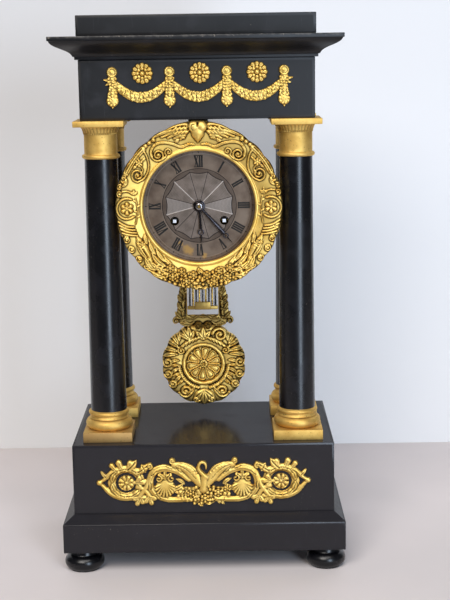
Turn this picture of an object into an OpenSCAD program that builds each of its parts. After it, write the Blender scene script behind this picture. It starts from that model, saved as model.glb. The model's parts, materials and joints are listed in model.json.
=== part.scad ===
// Portico clock: an ebonised four-column case with gilt mounts and a drum movement hung under
// the entablature. Millimetres, +Z up, front towards -Y, origin under the middle of the feet.

/* [Base] */
// Width of the plinth board
plinth_w = 250; // [220:1:280]
// Depth of the plinth board
plinth_d = 162; // [150:1:180]
// Height of the plinth board's upright face
plinth_h = 26; // [18:1:36]
// Height of the sloping bevel above the upright face
plinth_bevel_h = 7; // [4:0.5:10]
// How far the plinth stands out beyond the base box on every side
plinth_out = 9.5; // [6:0.5:12]
// Height of the base box
base_h = 63; // [58:1:80]
// Height of a bun foot
foot_h = 19; // [15:0.5:24]
// Largest radius of a bun foot
foot_r = 17.7; // [14:0.1:20]

/* [Columns] */
// Distance between the column axes across the clock
column_dx = 169; // [167:1:176]
// Distance between the column axes front to back
column_dy = 82; // [76:1:88]
// Height from the base box to the entablature
column_h = 283; // [277:1:310]
// Side of the square block under and over each column
block_w = 43.5; // [42.5:0.1:45]
// Height of the square block under a column
block_h = 9; // [6:0.5:12]
// Height of the turned base moulding
moulding_h = 17; // [14:0.5:22]
// Radius of the shaft at its foot
shaft_r = 16; // [14.5:0.1:16.5]
// Radius of the shaft at its top
shaft_top_r = 14.4; // [13:0.1:15]
// Height of a capital
capital_h = 33; // [28:0.5:38]
// Thickness of the capital's square plate
abacus_h = 5; // [3:0.5:7]

/* [Entablature] */
// Width of the frieze
frieze_w = 201; // [196:1:212]
// Depth of the frieze
frieze_d = 111.5; // [108:0.5:120]
// Height of the frieze
frieze_h = 51.5; // [49:0.5:60]
// Height of the cornice moulding
cornice_h = 19.5; // [16:0.5:24]
// How far the cornice stands out beyond the frieze
cornice_out = 23; // [18:0.5:28]
// How far the attic block stands out beyond the frieze
attic_out = 1; // [0.5:0.5:4]
// Height of the attic block
attic_h = 17.5; // [12:0.5:24]

/* [Dial and bezel] */
// Drop of the dial centre below the entablature
dial_drop = 75; // [74.5:0.5:80]
// Radius of the dial plate
dial_r = 50; // [49.5:0.1:50.4]
// Thickness of the dial plate
dial_t = 1.2; // [0.8:0.1:1.6]
// Radius of the dial that shows inside the bezel
view_r = 48.4; // [46:0.1:49]
// Outer radius of the bezel
bezel_r = 72.3; // [70:0.1:73]
// Relief of the bezel from back to front
bezel_h = 9; // [7:0.5:11]
// Lobes round the bezel's rim
bezel_lobes = 24; // [16:2:32]
// Length of the hour hand
hour_len = 33.5; // [28:0.5:38]
// Length of the minute hand
minute_len = 43.5; // [40:0.5:46]

/* [Movement] */
// Outer radius of the drum
drum_r = 52; // [52:0.1:53]
// Wall of the drum
drum_wall = 1.5; // [1:0.1:1.6]
// Gap between the movement plates
plate_gap = 40; // [40:0.5:44]
// Thickness of a movement plate
plate_t = 2.5; // [2:0.1:3]
// Distance between the winding arbors
winding_dx = 43.2; // [42.6:0.1:43.8]
// Drop of the winding arbors below the dial centre
winding_drop = 13.2; // [12.8:0.1:13.6]
// Radius of a spring barrel
barrel_r = 15.5; // [13:0.1:15.7]
// Radius of the bell at its mouth
bell_r = 32; // [28:0.5:32]
// Wall of the bell
bell_wall = 2; // [1.5:0.1:2.5]

/* [Pendulum] */
// Length from the suspension to the middle of the bob
pendulum_len = 196; // [190:0.5:202]
// Radius of the bob
bob_r = 40.5; // [37:0.5:42]
// Thickness of the bob
bob_t = 7; // [5:0.5:8]
// Lobes round the bob's rim
bob_lobes = 14; // [10:1:18]
// Radius of a compensation rod
rod_r = 0.95; // [0.8:0.05:1.1]
// Distance between the compensation rods
rod_pitch = 3; // [2.8:0.1:3.2]
// Number of compensation rods
rods = 9; // [5:2:9]

/* [Ornament] */
// Thickness of the gilt mounts on the wood
mount_t = 3; // [2:0.5:5]
// Distance between the drops of the garland
drop_pitch = 48.6; // [46:0.2:50]
// Half length of the base mount
base_mount_half = 95.5; // [90:0.5:100]
// Radius of the frieze rosettes
rosette_r = 9.2; // [7:0.1:9.5]

/* [Hidden] */
$fn = 64;

// Finishes
ebony = "#1b1b1f";
gilt = "#d6b258";
brass = "#b9923f";
steel = "#8e9094";
blued = "#2a2c3c";
silvered = "#7c7268";

// Clearances, and how far a turned blank stands beyond the lobes cut from it
run = 0.05;
seat = 0.3;
trim_over = 1;

// Rise of the bezel's rim over its winged heart
bezel_crest = 1.8;

// Levels of the case, from the feet up
z_plinth = foot_h;
z_bevel = z_plinth + plinth_h;
z_base = z_bevel + plinth_bevel_h;
z_deck = z_base + base_h;
z_shaft = z_deck + block_h + moulding_h;
z_frieze = z_deck + column_h;
z_capital = z_frieze - capital_h;
z_cornice = z_frieze + frieze_h;
z_attic = z_cornice + cornice_h;
base_w = plinth_w - 2 * plinth_out;
base_d = plinth_d - 2 * plinth_out;
attic_w = frieze_w + 2 * attic_out;
attic_d = frieze_d + 2 * attic_out;
tie_r = 3;
tie_head_r = 6.5;
tie_head_h = 6;
tie_grip = 34;
tie_fit = tie_r + seat;

// Levels of the dial and movement along Y, front first
dial_z = z_frieze - dial_drop;
bezel_back = -frieze_d / 2 + 3.75;
dial_y = bezel_back + 6;
dial_back = dial_y + dial_t;
motion_gap = 16.8;
front_y = dial_back + motion_gap;
inner_y = front_y + plate_t;
back_y = inner_y + plate_gap;
rear_y = back_y + plate_t;
pendulum_y = rear_y + 18;
drum_in = drum_r - drum_wall;
plate_r = drum_in - 5.8;
hour_y = dial_y - 3;
minute_y = hour_y - 2;
hand_t = 0.8;

// Places of the arbors round the dial centre
centre_at = [0, 0];
going_at = [winding_dx / 2, -winding_drop];
strike_at = [-winding_dx / 2, -winding_drop];
barrel_m = 0.567;
train_m = 0.5;
third_m = 0.45;
escape_m = 0.36;
barrel_n = 60;
barrel_pinion_n = 10;
train_n = 56;
centre_pinion_n = 8;
centre_n = 60;
third_pinion_n = 6;
third_n = 66;
escape_pinion_n = 6;
intermediate_at = meet(going_at, spread(barrel_m, barrel_n, barrel_pinion_n),
                       centre_at, spread(train_m, train_n, centre_pinion_n));
third_at = polar(spread(third_m, centre_n, third_pinion_n), 115);
escape_at = [0, third_at[1] + leg(spread(escape_m, third_n, escape_pinion_n), third_at[0])];
pallet_reach = 11;
pallet_at = escape_at + [0, pallet_reach];
strike_wheel_at = strike_at + polar(spread(barrel_m, barrel_n, barrel_pinion_n), -15);
hammer_at = [-37, 6];
bell_at = [0, 4];
pillars = [[-30, 26], [30, 26], [-12, -38.5], [12, -38.5]];

// Motion work behind the dial
cannon_n = 12;
minute_wheel_n = 36;
minute_pinion_n = 10;
hour_wheel_n = 40;
motion_m = 0.5;
hour_m = motion_m * (cannon_n + minute_wheel_n) / (minute_pinion_n + hour_wheel_n);
minute_wheel_at = polar(spread(motion_m, cannon_n, minute_wheel_n), 60);

// Radii of the arbors
centre_r = 1.3;
cannon_r = 2.6;
hour_pipe_r = 3.8;
arbor_r = 1.2;
fine_r = 0.65;
pivot_r = 0.8;
winding_r = 2.5;
winding_hole_r = 3.85;
stud_r = 1.2;

// The pendulum hangs from the pallet arbor's own axis
swing_z = dial_z + pallet_at[1];
bob_z = swing_z - pendulum_len;
rod_x = (rods - 1) / 2 * rod_pitch;
frame_z = bob_z + 39;
frame_h = 46;
window_z = 9;
crossbar_h = 3.2;
rods_z = frame_z + window_z + 4.6 + crossbar_h;
yoke_z = swing_z - 20;
yoke_h = 4;
hook_h = 4;
hook_half = 4;
yoke_half = rod_x + 1.4;
hour_turn = 90 - 177;
minute_turn = 90 - 138.6;

// Geometry helpers
function polar(r, a) = [r * cos(a), r * sin(a)];
function leg(hypotenuse, side) = sqrt(hypotenuse * hypotenuse - side * side);
function spread(m, n1, n2) = m * (n1 + n2) / 2;
function heading(a, b) = atan2(b[1] - a[1], b[0] - a[0]);
function arc(c, r, a0, a1, n) = [for (i = [0:n]) c + polar(r, a0 + (a1 - a0) * i / n)];
function meet(a, ra, b, rb) =
  let (d = norm(a - b), along = (rb * rb - ra * ra + d * d) / (2 * d), t = heading(b, a))
  b + polar(along, t) + polar(leg(rb, along), t + 90);
function tooth(n, m, i, at) =
  let (step = 360 / n, a = at + i * step, root = m * (n / 2 - 1.15), tip = m * (n / 2 + 0.85))
  [polar(root, a - 0.26 * step), polar(tip, a - 0.09 * step),
   polar(tip, a + 0.09 * step), polar(root, a + 0.26 * step)];
function crest(rise, turn) = rise * exp(-pow(min(turn, 360 - turn) / 17, 4));
function lobed(r, lobes, depth, n, rise = 0) =
  [for (i = [0:n - 1]) let (turn = i * 360 / n)
    polar(r - depth * (1 - abs(cos(turn * lobes / 2))) + crest(rise, turn), 90 + turn)];

// A flat shape in the X-Z plane round the dial centre, from y0 towards the back by t
module slab(y0, t) {
  translate([0, y0 + t, dial_z])
    rotate([90, 0, 0])
      linear_extrude(t)
        children();
}

// A round bar along Y through a place in the dial plane
module bar(at, y0, y1, r) {
  translate([at[0], y1, dial_z + at[1]])
    rotate([90, 0, 0])
      cylinder(r = r, h = y1 - y0);
}

module gear(n, m, at) {
  polygon([for (i = [0:n - 1]) each tooth(n, m, i, at)]);
}

// A toothed wheel on its place with a tooth at one heading
module wheel(at, n, m, tooth_at, y0, t) {
  slab(y0, t)
    translate(at)
      gear(n, m, tooth_at);
}

// A wheel disc with spoke windows cut out of it
module crossed_wheel(at, n, m, tooth_at, y0, t, hub_r) {
  rim = m * (n / 2 - 1.15) - 1.6;
  slab(y0, t)
    translate(at)
      difference() {
        gear(n, m, tooth_at);
        for (a = [0:90:270])
          rotate(a)
            intersection() {
              difference() {
                circle(rim);
                circle(hub_r);
              }
              translate([0.9, 0.9])
                square(rim);
            }
      }
}

// A pivoted arbor between the plates
module arbor(at, r) {
  shoulder = 0.2;
  bar(at, inner_y + shoulder, back_y - shoulder, r);
  bar(at, inner_y - plate_t + shoulder, back_y + plate_t - shoulder, min(r, pivot_r));
}

// A moulding carried round a rectangle with mitred corners, from a profile of
// outward steps against height
module mitred(w, d, profile) {
  intersection() {
    translate([0, d, 0])
      rotate([90, 0, 0])
        linear_extrude(2 * d)
          mirrored_profile(w / 2, profile);
    translate([-w, 0, 0])
      rotate([90, 0, 90])
        linear_extrude(2 * w)
          mirrored_profile(d / 2, profile);
  }
}

module mirrored_profile(half, profile) {
  right = [for (p = profile) [half + p[0], p[1]]];
  left = [for (i = [len(profile) - 1:-1:0]) [-half - profile[i][0], profile[i][1]]];
  polygon(concat(right, left));
}

module foot(sx, sy) {
  bun_h = foot_h - 5;
  neck_r = foot_r - 5;
  bulge = arc([foot_r - bun_h / 2, bun_h / 2], bun_h / 2, -65, 80, 10);
  color(ebony)
    translate([sx * (plinth_w / 2 - foot_r + 1), sy * (plinth_d / 2 - foot_r + 1), 0])
      rotate_extrude()
        polygon(concat([[0, 0], [bulge[0][0], 0]], bulge,
                       [[neck_r, bun_h + 0.5], [neck_r, foot_h], [0, foot_h]]));
}

module base_plinth() {
  color(ebony)
    translate([0, 0, z_plinth])
      mitred(plinth_w, plinth_d, [[0, 0], [0, plinth_h], [-plinth_out, plinth_h + plinth_bevel_h]]);
}

module at_columns() {
  for (sx = [-1, 1])
    for (sy = [-1, 1])
      translate([sx * column_dx / 2, sy * column_dy / 2, 0])
        children();
}

module base_box() {
  color(ebony)
    difference() {
      translate([-base_w / 2, -base_d / 2, z_base])
        cube([base_w, base_d, base_h]);
      at_columns() {
        translate([0, 0, z_base - 1])
          cylinder(r = tie_fit, h = base_h + 2);
        translate([0, 0, z_base - 1])
          cylinder(r = tie_head_r + seat, h = tie_head_h + 1);
      }
    }
}

module column_base(sx, sy) {
  torus_r = 4.8;
  ring_r = 1.8;
  torus = arc([block_w / 2 - 1 - torus_r, torus_r], torus_r, -60, 90, 8);
  neck = [shaft_r + 0.6, moulding_h - 2 * ring_r - 0.9];
  ring = arc([shaft_r + 0.2, moulding_h - ring_r - 0.6], ring_r, -75, 80, 6);
  color(gilt)
    translate([sx * column_dx / 2, sy * column_dy / 2, z_deck])
      difference() {
        union() {
          translate([-block_w / 2, -block_w / 2, 0])
            cube([block_w, block_w, block_h]);
          translate([0, 0, block_h])
            rotate_extrude()
              polygon(concat([[0, 0], [torus[0][0], 0]], torus,
                             [[torus[8][0] - 0.8, torus[8][1] + 0.6], neck], ring,
                             [[shaft_r, moulding_h], [0, moulding_h]]));
        }
        translate([0, 0, -1])
          cylinder(r = tie_fit, h = block_h + moulding_h + 2);
      }
}

module column_shaft(sx, sy) {
  color(ebony)
    translate([sx * column_dx / 2, sy * column_dy / 2, z_shaft])
      difference() {
        cylinder(r1 = shaft_r, r2 = shaft_top_r, h = z_capital - z_shaft);
        translate([0, 0, -1])
          cylinder(r = tie_fit, h = z_capital - z_shaft + 2);
      }
}

module column_capital(sx, sy) {
  ring_h = 3.8;
  neck_r = shaft_top_r + 0.5;
  bell_h = 8;
  neck_top = capital_h - abacus_h - bell_h;
  flare = arc([block_w / 2 - 1.2, neck_top + 0.6], block_w / 2 - 1.2 - neck_r, 180, 120, 6);
  color(gilt)
    translate([sx * column_dx / 2, sy * column_dy / 2, z_capital])
      difference() {
        union() {
          rotate_extrude()
            polygon(concat([[0, 0]], arc([shaft_top_r + 0.4, ring_h / 2], ring_h / 2, -90, 90, 8),
                           [[neck_r - 0.5, ring_h + 1], [neck_r - 0.5, neck_top - 3], [neck_r, neck_top]],
                           flare, [[block_w / 2 - 2, capital_h - abacus_h], [0, capital_h - abacus_h]]));
          translate([-block_w / 2, -block_w / 2, capital_h - abacus_h])
            cube([block_w, block_w, abacus_h]);
        }
        translate([0, 0, -1])
          cylinder(r = tie_fit, h = capital_h + 2);
      }
}

module column_tie_bolts() {
  color(steel)
    at_columns() {
      translate([0, 0, z_base])
        cylinder(r = tie_r, h = z_frieze + tie_grip - z_base);
      translate([0, 0, z_base])
        cylinder(r = tie_head_r, h = tie_head_h, $fn = 6);
    }
}

module frieze_box() {
  color(ebony)
    difference() {
      translate([-frieze_w / 2, -frieze_d / 2, z_frieze])
        cube([frieze_w, frieze_d, frieze_h]);
      at_columns()
        translate([0, 0, z_frieze - 1])
          cylinder(r = tie_fit, h = tie_grip + 2);
      at_hangers()
        translate([0, 0, z_frieze - 1])
          cylinder(r = hanger_r + seat, h = hanger_grip + 2);
    }
}

// Fascia, ogee and fillet of the cornice, as outward steps against height
function cornice_profile() =
  let (fascia = 3.6, fillet = 2.6, run_out = cornice_out - 5,
       rise = cornice_h - fascia - fillet)
  concat([[2.6, 0], [2.6, fillet]],
         [for (i = [0:12]) let (s = i / 12)
           [4 + run_out * (s - 0.11 * sin(360 * s)), fillet + rise * s]],
         [[cornice_out, fillet + rise], [cornice_out, cornice_h]]);

module cornice() {
  color(ebony)
    translate([0, 0, z_cornice])
      mitred(frieze_w, frieze_d, cornice_profile());
}

module attic() {
  color(ebony)
    translate([-attic_w / 2, -attic_d / 2, z_attic])
      cube([attic_w, attic_d, attic_h]);
}

// A flat mount against an upright face at y, with its own height z, standing out by t
module applied(y, z, t) {
  translate([0, y, z])
    rotate([90, 0, 0])
      linear_extrude(t)
        children();
}

// One end-to-end leaf of length l and width w, pointing along +X
module leaf(l, w) {
  r = (l * l / 4 + w * w / 4) / w;
  intersection() {
    translate([l / 2, r - w / 2])
      circle(r);
    translate([l / 2, w / 2 - r])
      circle(r);
  }
}

// An open ring scroll
module hoop(r, w) {
  difference() {
    circle(r);
    circle(r - w);
  }
}

// Leaves that stand out from a ring at the given headings
module ring_leaves(r, headings, l, w) {
  for (a = headings)
    rotate(a)
      translate([r - w / 2, 0])
        leaf(l, w);
}

// Places of the mount's ringed rosette, of the scroll round its shell and of its fruit
mount_strap = 7.4;
mount_ring_r = 16.7;
mount_tip = 11.3;
mount_rosette_r = 7.2;
mount_stalk = 3;
rosette_x = base_mount_half - mount_ring_r - mount_tip;
scroll_at = [32, -1.3];
scroll_r = 17.6;
shell_at = [33.4, -5];
shell_r = 9;
fruit_half = 26;
fruit_h = 17;
fruit_z = -11.4;

module mount_rosette() {
  hoop(mount_ring_r, mount_strap);
  circle(mount_rosette_r);
  translate([-mount_ring_r - mount_stalk, -mount_stalk / 2])
    square([mount_ring_r + mount_stalk, mount_stalk]);
  translate([mount_ring_r - mount_strap + 1, 0])
    leaf(mount_strap + mount_tip - 1, 1.6 * mount_strap);
  ring_leaves(mount_ring_r, [35, 62, 88, 115, -118, -142], 9.4, 7);
}

module mount_shell() {
  palmette = 12;
  circle(shell_r);
  translate([-mount_stalk / 2, -shell_r - mount_stalk])
    square([mount_stalk, 2 * mount_stalk]);
  translate([0, shell_r - 2])
    rotate(90)
      leaf(palmette, palmette / 2);
}

module mount_wing() {
  wing = 33;
  curl_r = 3.4;
  rotate(36) {
    leaf(wing, 12.5);
    translate([wing - 3, 3])
      circle(curl_r);
  }
}

module base_mount_half_outline() {
  translate([rosette_x, 0])
    mount_rosette();
  translate(scroll_at) {
    hoop(scroll_r, mount_strap);
    ring_leaves(scroll_r, [38, 60], 9, 7);
  }
  translate(shell_at)
    mount_shell();
  translate([3, -2])
    mount_wing();
}

module swan_outline() {
  breast = 8;
  translate([-breast / 2, -breast])
    square([breast, 18]);
  translate([-1.6, 12.6])
    hoop(5, 3.1);
}

module base_mount_outline() {
  base_mount_half_outline();
  mirror([1, 0])
    base_mount_half_outline();
  translate([-fruit_half, fruit_z])
    leaf(2 * fruit_half, fruit_h);
  translate([0, fruit_z - 4.6])
    circle(6.4);
  swan_outline();
}

module base_mount() {
  color(gilt)
    applied(-base_d / 2, z_base + base_h * 0.46, mount_t)
      base_mount_outline();
}

// A hanging drop of the garland, its knot at the origin
module garland_drop() {
  head_r = 5.2;
  neck = 6;
  bulb_r = 5.8;
  bulb_z = -19.8;
  translate([0, head_r - 1])
    circle(head_r);
  translate([-neck / 2, bulb_z])
    square([neck, -bulb_z]);
  translate([0, bulb_z])
    circle(bulb_r);
}

// A swag between two drops, thick in the middle
module swag() {
  span = drop_pitch / 2;
  sag = 21.2;
  thick = 10;
  inner_span = span - 4.5;
  r1 = (span * span + sag * sag) / (2 * sag);
  r2 = (inner_span * inner_span + (sag - thick) * (sag - thick)) / (2 * (sag - thick));
  difference() {
    intersection() {
      translate([0, r1 - sag])
        circle(r1);
      translate([-span, -sag])
        square([2 * span, sag]);
    }
    translate([0, r2 - sag + thick])
      circle(r2);
  }
}

// Height of the garland's knots, and how far right of the middle the mounts were set by hand
garland_z = z_frieze + 36.5;
garland_x = 1.2;
rosettes_x = 2.6;

module frieze_garland() {
  drops = 4;
  color(gilt)
    applied(-frieze_d / 2, garland_z, mount_t) {
      for (i = [0:drops - 1])
        translate([garland_x + (i - (drops - 1) / 2) * drop_pitch, 0])
          garland_drop();
      for (i = [0:drops - 2])
        translate([garland_x + (i - (drops - 2) / 2) * drop_pitch, -1.5])
          swag();
      for (s = [-1, 1])
        translate([garland_x + s * 1.5 * drop_pitch, -3])
          rotate(s > 0 ? -10 : 190)
            leaf(9, 4.6);
    }
}

module frieze_rosettes() {
  petals = 12;
  color(gilt)
    for (i = [-1:1])
      translate([rosettes_x + i * drop_pitch, 0, 0])
        applied(-frieze_d / 2, garland_z + 3, mount_t)
          polygon(lobed(rosette_r, petals, 1.2, petals * 6));
}

// Hanging of the movement
hanger_r = 2;
hanger_head_h = 2.5;
hanger_grip = 20;
saddle_half = 8.5;
saddle_front = inner_y - 6;
saddle_back = back_y - 8;
hangers = [saddle_front + 12, saddle_back - 12];

module at_hangers() {
  for (y = hangers)
    translate([0, y, 0])
      children();
}

module hanging_saddle() {
  color(ebony)
    difference() {
      translate([-saddle_half, saddle_front, dial_z])
        cube([2 * saddle_half, saddle_back - saddle_front, dial_drop]);
      bar(centre_at, saddle_front - 1, saddle_back + 1, drum_r + run);
      at_hangers()
        translate([0, 0, dial_z])
          cylinder(r = hanger_r + seat, h = dial_drop + 1);
    }
}

module hanging_bolts() {
  head_top = dial_z + drum_in - seat;
  color(steel)
    at_hangers() {
      translate([0, 0, head_top - hanger_head_h])
        cylinder(r = hanger_r * 2, h = hanger_head_h, $fn = 6);
      translate([0, 0, head_top - 1])
        cylinder(r = hanger_r, h = z_frieze + hanger_grip - head_top + 1);
    }
}

module movement_drum() {
  lip = 2.5;
  color(brass)
    difference() {
      union() {
        difference() {
          bar(centre_at, bezel_back, rear_y, drum_r);
          bar(centre_at, bezel_back - 1, rear_y + 1, drum_in);
        }
        difference() {
          bar(centre_at, rear_y - lip, rear_y, drum_r - 0.5);
          bar(centre_at, rear_y - lip - 1, rear_y + 1, plate_r + seat);
        }
      }
      at_hangers()
        translate([0, 0, dial_z])
          cylinder(r = hanger_r + seat, h = drum_r + 1);
    }
}

// Section of the bezel as radius against relief: plain inner ring, hollow, swelling rim
function bezel_profile() =
  let (outer = bezel_r + bezel_crest + trim_over, field = outer - view_r)
  concat([[view_r, 0], [view_r, 3.2]], arc([view_r + 1.6, 3.6], 1.6, 180, 0, 6),
         [for (i = [0:8]) [view_r + 3.4 + (field - 3.4) * i / 8, 4 + (bezel_h - 4) * sin(i * 17)]],
         [[outer, 0]]);

module bezel() {
  edge_depth = 1.1;
  color(gilt)
    intersection() {
      translate([0, bezel_back, dial_z])
        rotate([90, 0, 0])
          rotate_extrude()
            polygon(bezel_profile());
      slab(bezel_back - bezel_h - 2, bezel_h + 2)
        polygon(lobed(bezel_r, bezel_lobes, edge_depth, bezel_lobes * 6, bezel_crest));
    }
}

module dial() {
  foot_at = 40;
  color(silvered)
    union() {
      slab(dial_y, dial_t)
        difference() {
          circle(dial_r);
          circle(hour_pipe_r + 0.5);
          for (at = [going_at, strike_at])
            translate(at)
              circle(winding_hole_r);
        }
      for (a = [90, 210, 330])
        bar(polar(foot_at, a), dial_back, front_y, 1.5);
    }
}

// Holes of the plates: every arbor and pillar that passes or pivots there
module plate_holes(winding, centre) {
  for (at = [going_at, strike_at])
    translate(at)
      circle(winding);
  translate(centre_at)
    circle(centre);
  for (at = [intermediate_at, third_at, escape_at, pallet_at, strike_wheel_at, hammer_at])
    translate(at)
      circle(at == third_at || at == escape_at ? fine_r + run : pivot_r + run);
}

module front_plate() {
  color(brass) {
    slab(front_y, plate_t)
      difference() {
        circle(plate_r);
        plate_holes(winding_r + run, centre_r + run);
      }
    bar(minute_wheel_at, front_y - 8.5, front_y, stud_r);
  }
}

module back_plate() {
  color(brass)
    slab(back_y, plate_t)
      difference() {
        circle(plate_r);
        plate_holes(pivot_r * 2 + run, pivot_r + run);
        translate(strike_wheel_at)
          circle(arbor_r + run);
        translate(hammer_at)
          circle(arbor_r + run);
        translate(pallet_at)
          circle(arbor_r + run);
      }
}

module plate_pillars() {
  waist_r = 2;
  end_r = 3;
  end_h = 5;
  color(brass)
    for (at = pillars)
      translate([at[0], back_y, dial_z + at[1]])
        rotate([90, 0, 0])
          rotate_extrude()
            polygon([[0, 0], [end_r, 0], [end_r, end_h], [waist_r, end_h + 2],
                     [waist_r, plate_gap - end_h - 2], [end_r, plate_gap - end_h],
                     [end_r, plate_gap], [0, plate_gap]]);
}

// Levels between the plates, measured back from the front plate
function level(t) = inner_y + t;
wheel_t = 1.5;
drum_front = 4;
drum_len = 18;
great_t = 2;

// A spring barrel with its great wheel at one end
module barrel(at, wheel_y, tooth_at) {
  difference() {
    union() {
      bar(at, level(drum_front), level(drum_front + drum_len), barrel_r);
      wheel(at, barrel_n, barrel_m, tooth_at, wheel_y, great_t);
    }
    bar(at, level(0), level(plate_gap), winding_r + run);
  }
}

// A winding arbor with its square end behind the dial hole
module winding_arbor(at) {
  square_w = 2.8;
  shoulder = 0.2;
  proud = 1;
  union() {
    bar(at, front_y - proud, level(plate_gap - shoulder), winding_r);
    bar(at, level(plate_gap - 2), level(plate_gap + plate_t - shoulder), pivot_r * 2);
    slab(dial_y - proud, front_y - dial_y + proud)
      translate(at)
        square(square_w, center = true);
  }
}

module going_barrel() {
  color(brass)
    barrel(going_at, level(drum_front - great_t), heading(going_at, intermediate_at));
}

module strike_barrel() {
  color(brass)
    barrel(strike_at, level(drum_front + drum_len), heading(strike_at, strike_wheel_at));
}

module going_arbor() {
  color(steel)
    winding_arbor(going_at);
}

module strike_arbor() {
  color(steel)
    winding_arbor(strike_at);
}

// Heading of a pinion's tooth so that a gap faces the wheel that drives it
function gap_at(from, to, n) = heading(from, to) + 180 / n;

module intermediate_wheel() {
  color(brass)
    union() {
      arbor(intermediate_at, arbor_r);
      wheel(intermediate_at, barrel_pinion_n, barrel_m, gap_at(intermediate_at, going_at, barrel_pinion_n),
            level(1), 4);
      crossed_wheel(intermediate_at, train_n, train_m, heading(intermediate_at, centre_at),
                    level(29), wheel_t, 4);
    }
}

module centre_wheel() {
  color(brass)
    union() {
      bar(centre_at, minute_y - 2, level(plate_gap - 0.2), centre_r);
      bar(centre_at, level(plate_gap - 2), level(plate_gap + plate_t - 0.2), pivot_r);
      wheel(centre_at, centre_pinion_n, train_m, gap_at(centre_at, intermediate_at, centre_pinion_n),
            level(28), 3.5);
      crossed_wheel(centre_at, centre_n, third_m, heading(centre_at, third_at), level(33), wheel_t, 4);
    }
}

module third_wheel() {
  color(brass)
    union() {
      arbor(third_at, fine_r);
      wheel(third_at, third_pinion_n, third_m, gap_at(third_at, centre_at, third_pinion_n), level(32), 3.5);
      crossed_wheel(third_at, third_n, escape_m, heading(third_at, escape_at), level(37), wheel_t, 3);
    }
}

escape_r = 8.2;
escape_teeth = 36;
escape_y = level(31);

module escape_wheel() {
  root = escape_r - 1.6;
  step = 360 / escape_teeth;
  color(brass)
    union() {
      arbor(escape_at, fine_r);
      wheel(escape_at, escape_pinion_n, escape_m, gap_at(escape_at, third_at, escape_pinion_n),
            level(36.4), 2.6);
      slab(escape_y, wheel_t)
        translate(escape_at)
          difference() {
            polygon([for (i = [0:escape_teeth - 1])
              each [polar(root, i * step), polar(escape_r, (i + 0.35) * step),
                    polar(root, (i + 0.5) * step)]]);
            for (a = [0:90:270])
              rotate(a)
                translate([3.9, 0])
                  circle(1.5);
          }
    }
}

// Anchor over the escape wheel, its arbor, and the crutch behind the back plate
module pallet_anchor() {
  inside_r = escape_r + 1.3;
  band = 1.8;
  crutch_y = rear_y + 7;
  crutch_t = 1.5;
  prong_z = yoke_z + yoke_h + 0.5 - swing_z;
  prong_h = 3;
  prong_w = 1.2;
  prong_x = hook_half + seat;
  color(steel)
    union() {
      slab(escape_y, wheel_t) {
        translate(escape_at)
          intersection() {
            hoop(inside_r + band, band);
            polygon(concat([[0, 0]], arc([0, 0], 2 * inside_r, 30, 150, 6)));
          }
        translate(pallet_at)
          circle(2.2);
      }
      bar(pallet_at, level(0.2) - plate_t + 0.4, crutch_y + crutch_t, pivot_r);
      bar(pallet_at, level(0.2), level(plate_gap - 0.2), arbor_r);
      bar(pallet_at, level(plate_gap - 2), crutch_y + crutch_t, arbor_r);
      slab(crutch_y, crutch_t)
        translate(pallet_at) {
          circle(2.4);
          translate([-0.9, prong_z])
            square([1.8, -prong_z]);
          translate([-prong_x - prong_w, prong_z])
            square([2 * (prong_x + prong_w), prong_h]);
        }
      for (s = [-1, 1])
        translate([s * (prong_x + prong_w / 2) - prong_w / 2, crutch_y, swing_z + prong_z])
          cube([prong_w, pendulum_y + 2 - crutch_y, prong_h]);
    }
}

motion_y = front_y - 3.5;
hour_wheel_y = front_y - 7;

module cannon_pinion() {
  color(steel)
    difference() {
      union() {
        wheel(centre_at, cannon_n, motion_m, heading(centre_at, minute_wheel_at), motion_y - 0.5, 2.5);
        bar(centre_at, minute_y - 0.2, motion_y + 2, cannon_r);
      }
      bar(centre_at, minute_y - 1, front_y, centre_r + run);
    }
}

module minute_wheel() {
  color(brass)
    difference() {
      union() {
        wheel(minute_wheel_at, minute_wheel_n, motion_m,
              gap_at(minute_wheel_at, centre_at, minute_wheel_n), motion_y, wheel_t);
        wheel(minute_wheel_at, minute_pinion_n, hour_m, heading(minute_wheel_at, centre_at),
              hour_wheel_y - 0.5, motion_y - hour_wheel_y + 1);
      }
      bar(minute_wheel_at, hour_wheel_y - 2, front_y, stud_r + run);
    }
}

module hour_wheel() {
  color(brass)
    difference() {
      union() {
        wheel(centre_at, hour_wheel_n, hour_m, gap_at(centre_at, minute_wheel_at, hour_wheel_n),
              hour_wheel_y, wheel_t);
        bar(centre_at, hour_y - 0.2, hour_wheel_y + wheel_t, hour_pipe_r);
      }
      bar(centre_at, hour_y - 1, front_y, cannon_r + run);
    }
}

// A blade hand with a pierced moon before its tip, pointing along +X
module moon_hand(l, moon_x, moon_r, hub, bore, blade) {
  difference() {
    union() {
      circle(hub);
      polygon([[0, -1], [moon_x - moon_r, -blade], [moon_x, -blade / 2], [moon_x, blade / 2],
               [moon_x - moon_r, blade], [0, 1]]);
      translate([moon_x, 0])
        circle(moon_r);
      polygon([[moon_x, -1.2], [l, -0.15], [l, 0.15], [moon_x, 1.2]]);
    }
    translate([moon_x, 0])
      circle(moon_r - 1);
    circle(bore);
  }
}

module hour_hand() {
  color(blued)
    slab(hour_y, hand_t)
      rotate(hour_turn)
        moon_hand(hour_len, hour_len - 10.5, 2.7, 5.2, hour_pipe_r + run, 1.1);
}

module minute_hand() {
  color(blued)
    slab(minute_y, hand_t)
      rotate(minute_turn)
        moon_hand(minute_len, minute_len - 9, 2.5, 4.2, cannon_r + run, 2);
}

module hand_nut() {
  nut_r = 3.2;
  nut_h = 2.4;
  color(steel)
    translate([0, minute_y - 0.3, dial_z])
      rotate([90, 0, 0])
        rotate_extrude()
          polygon(concat([[centre_r + run, 0], [nut_r, 0]],
                         arc([nut_r - 1.4, nut_h - 1.4], 1.4, 0, 80, 5),
                         [[centre_r + run, nut_h]]));
}

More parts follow.
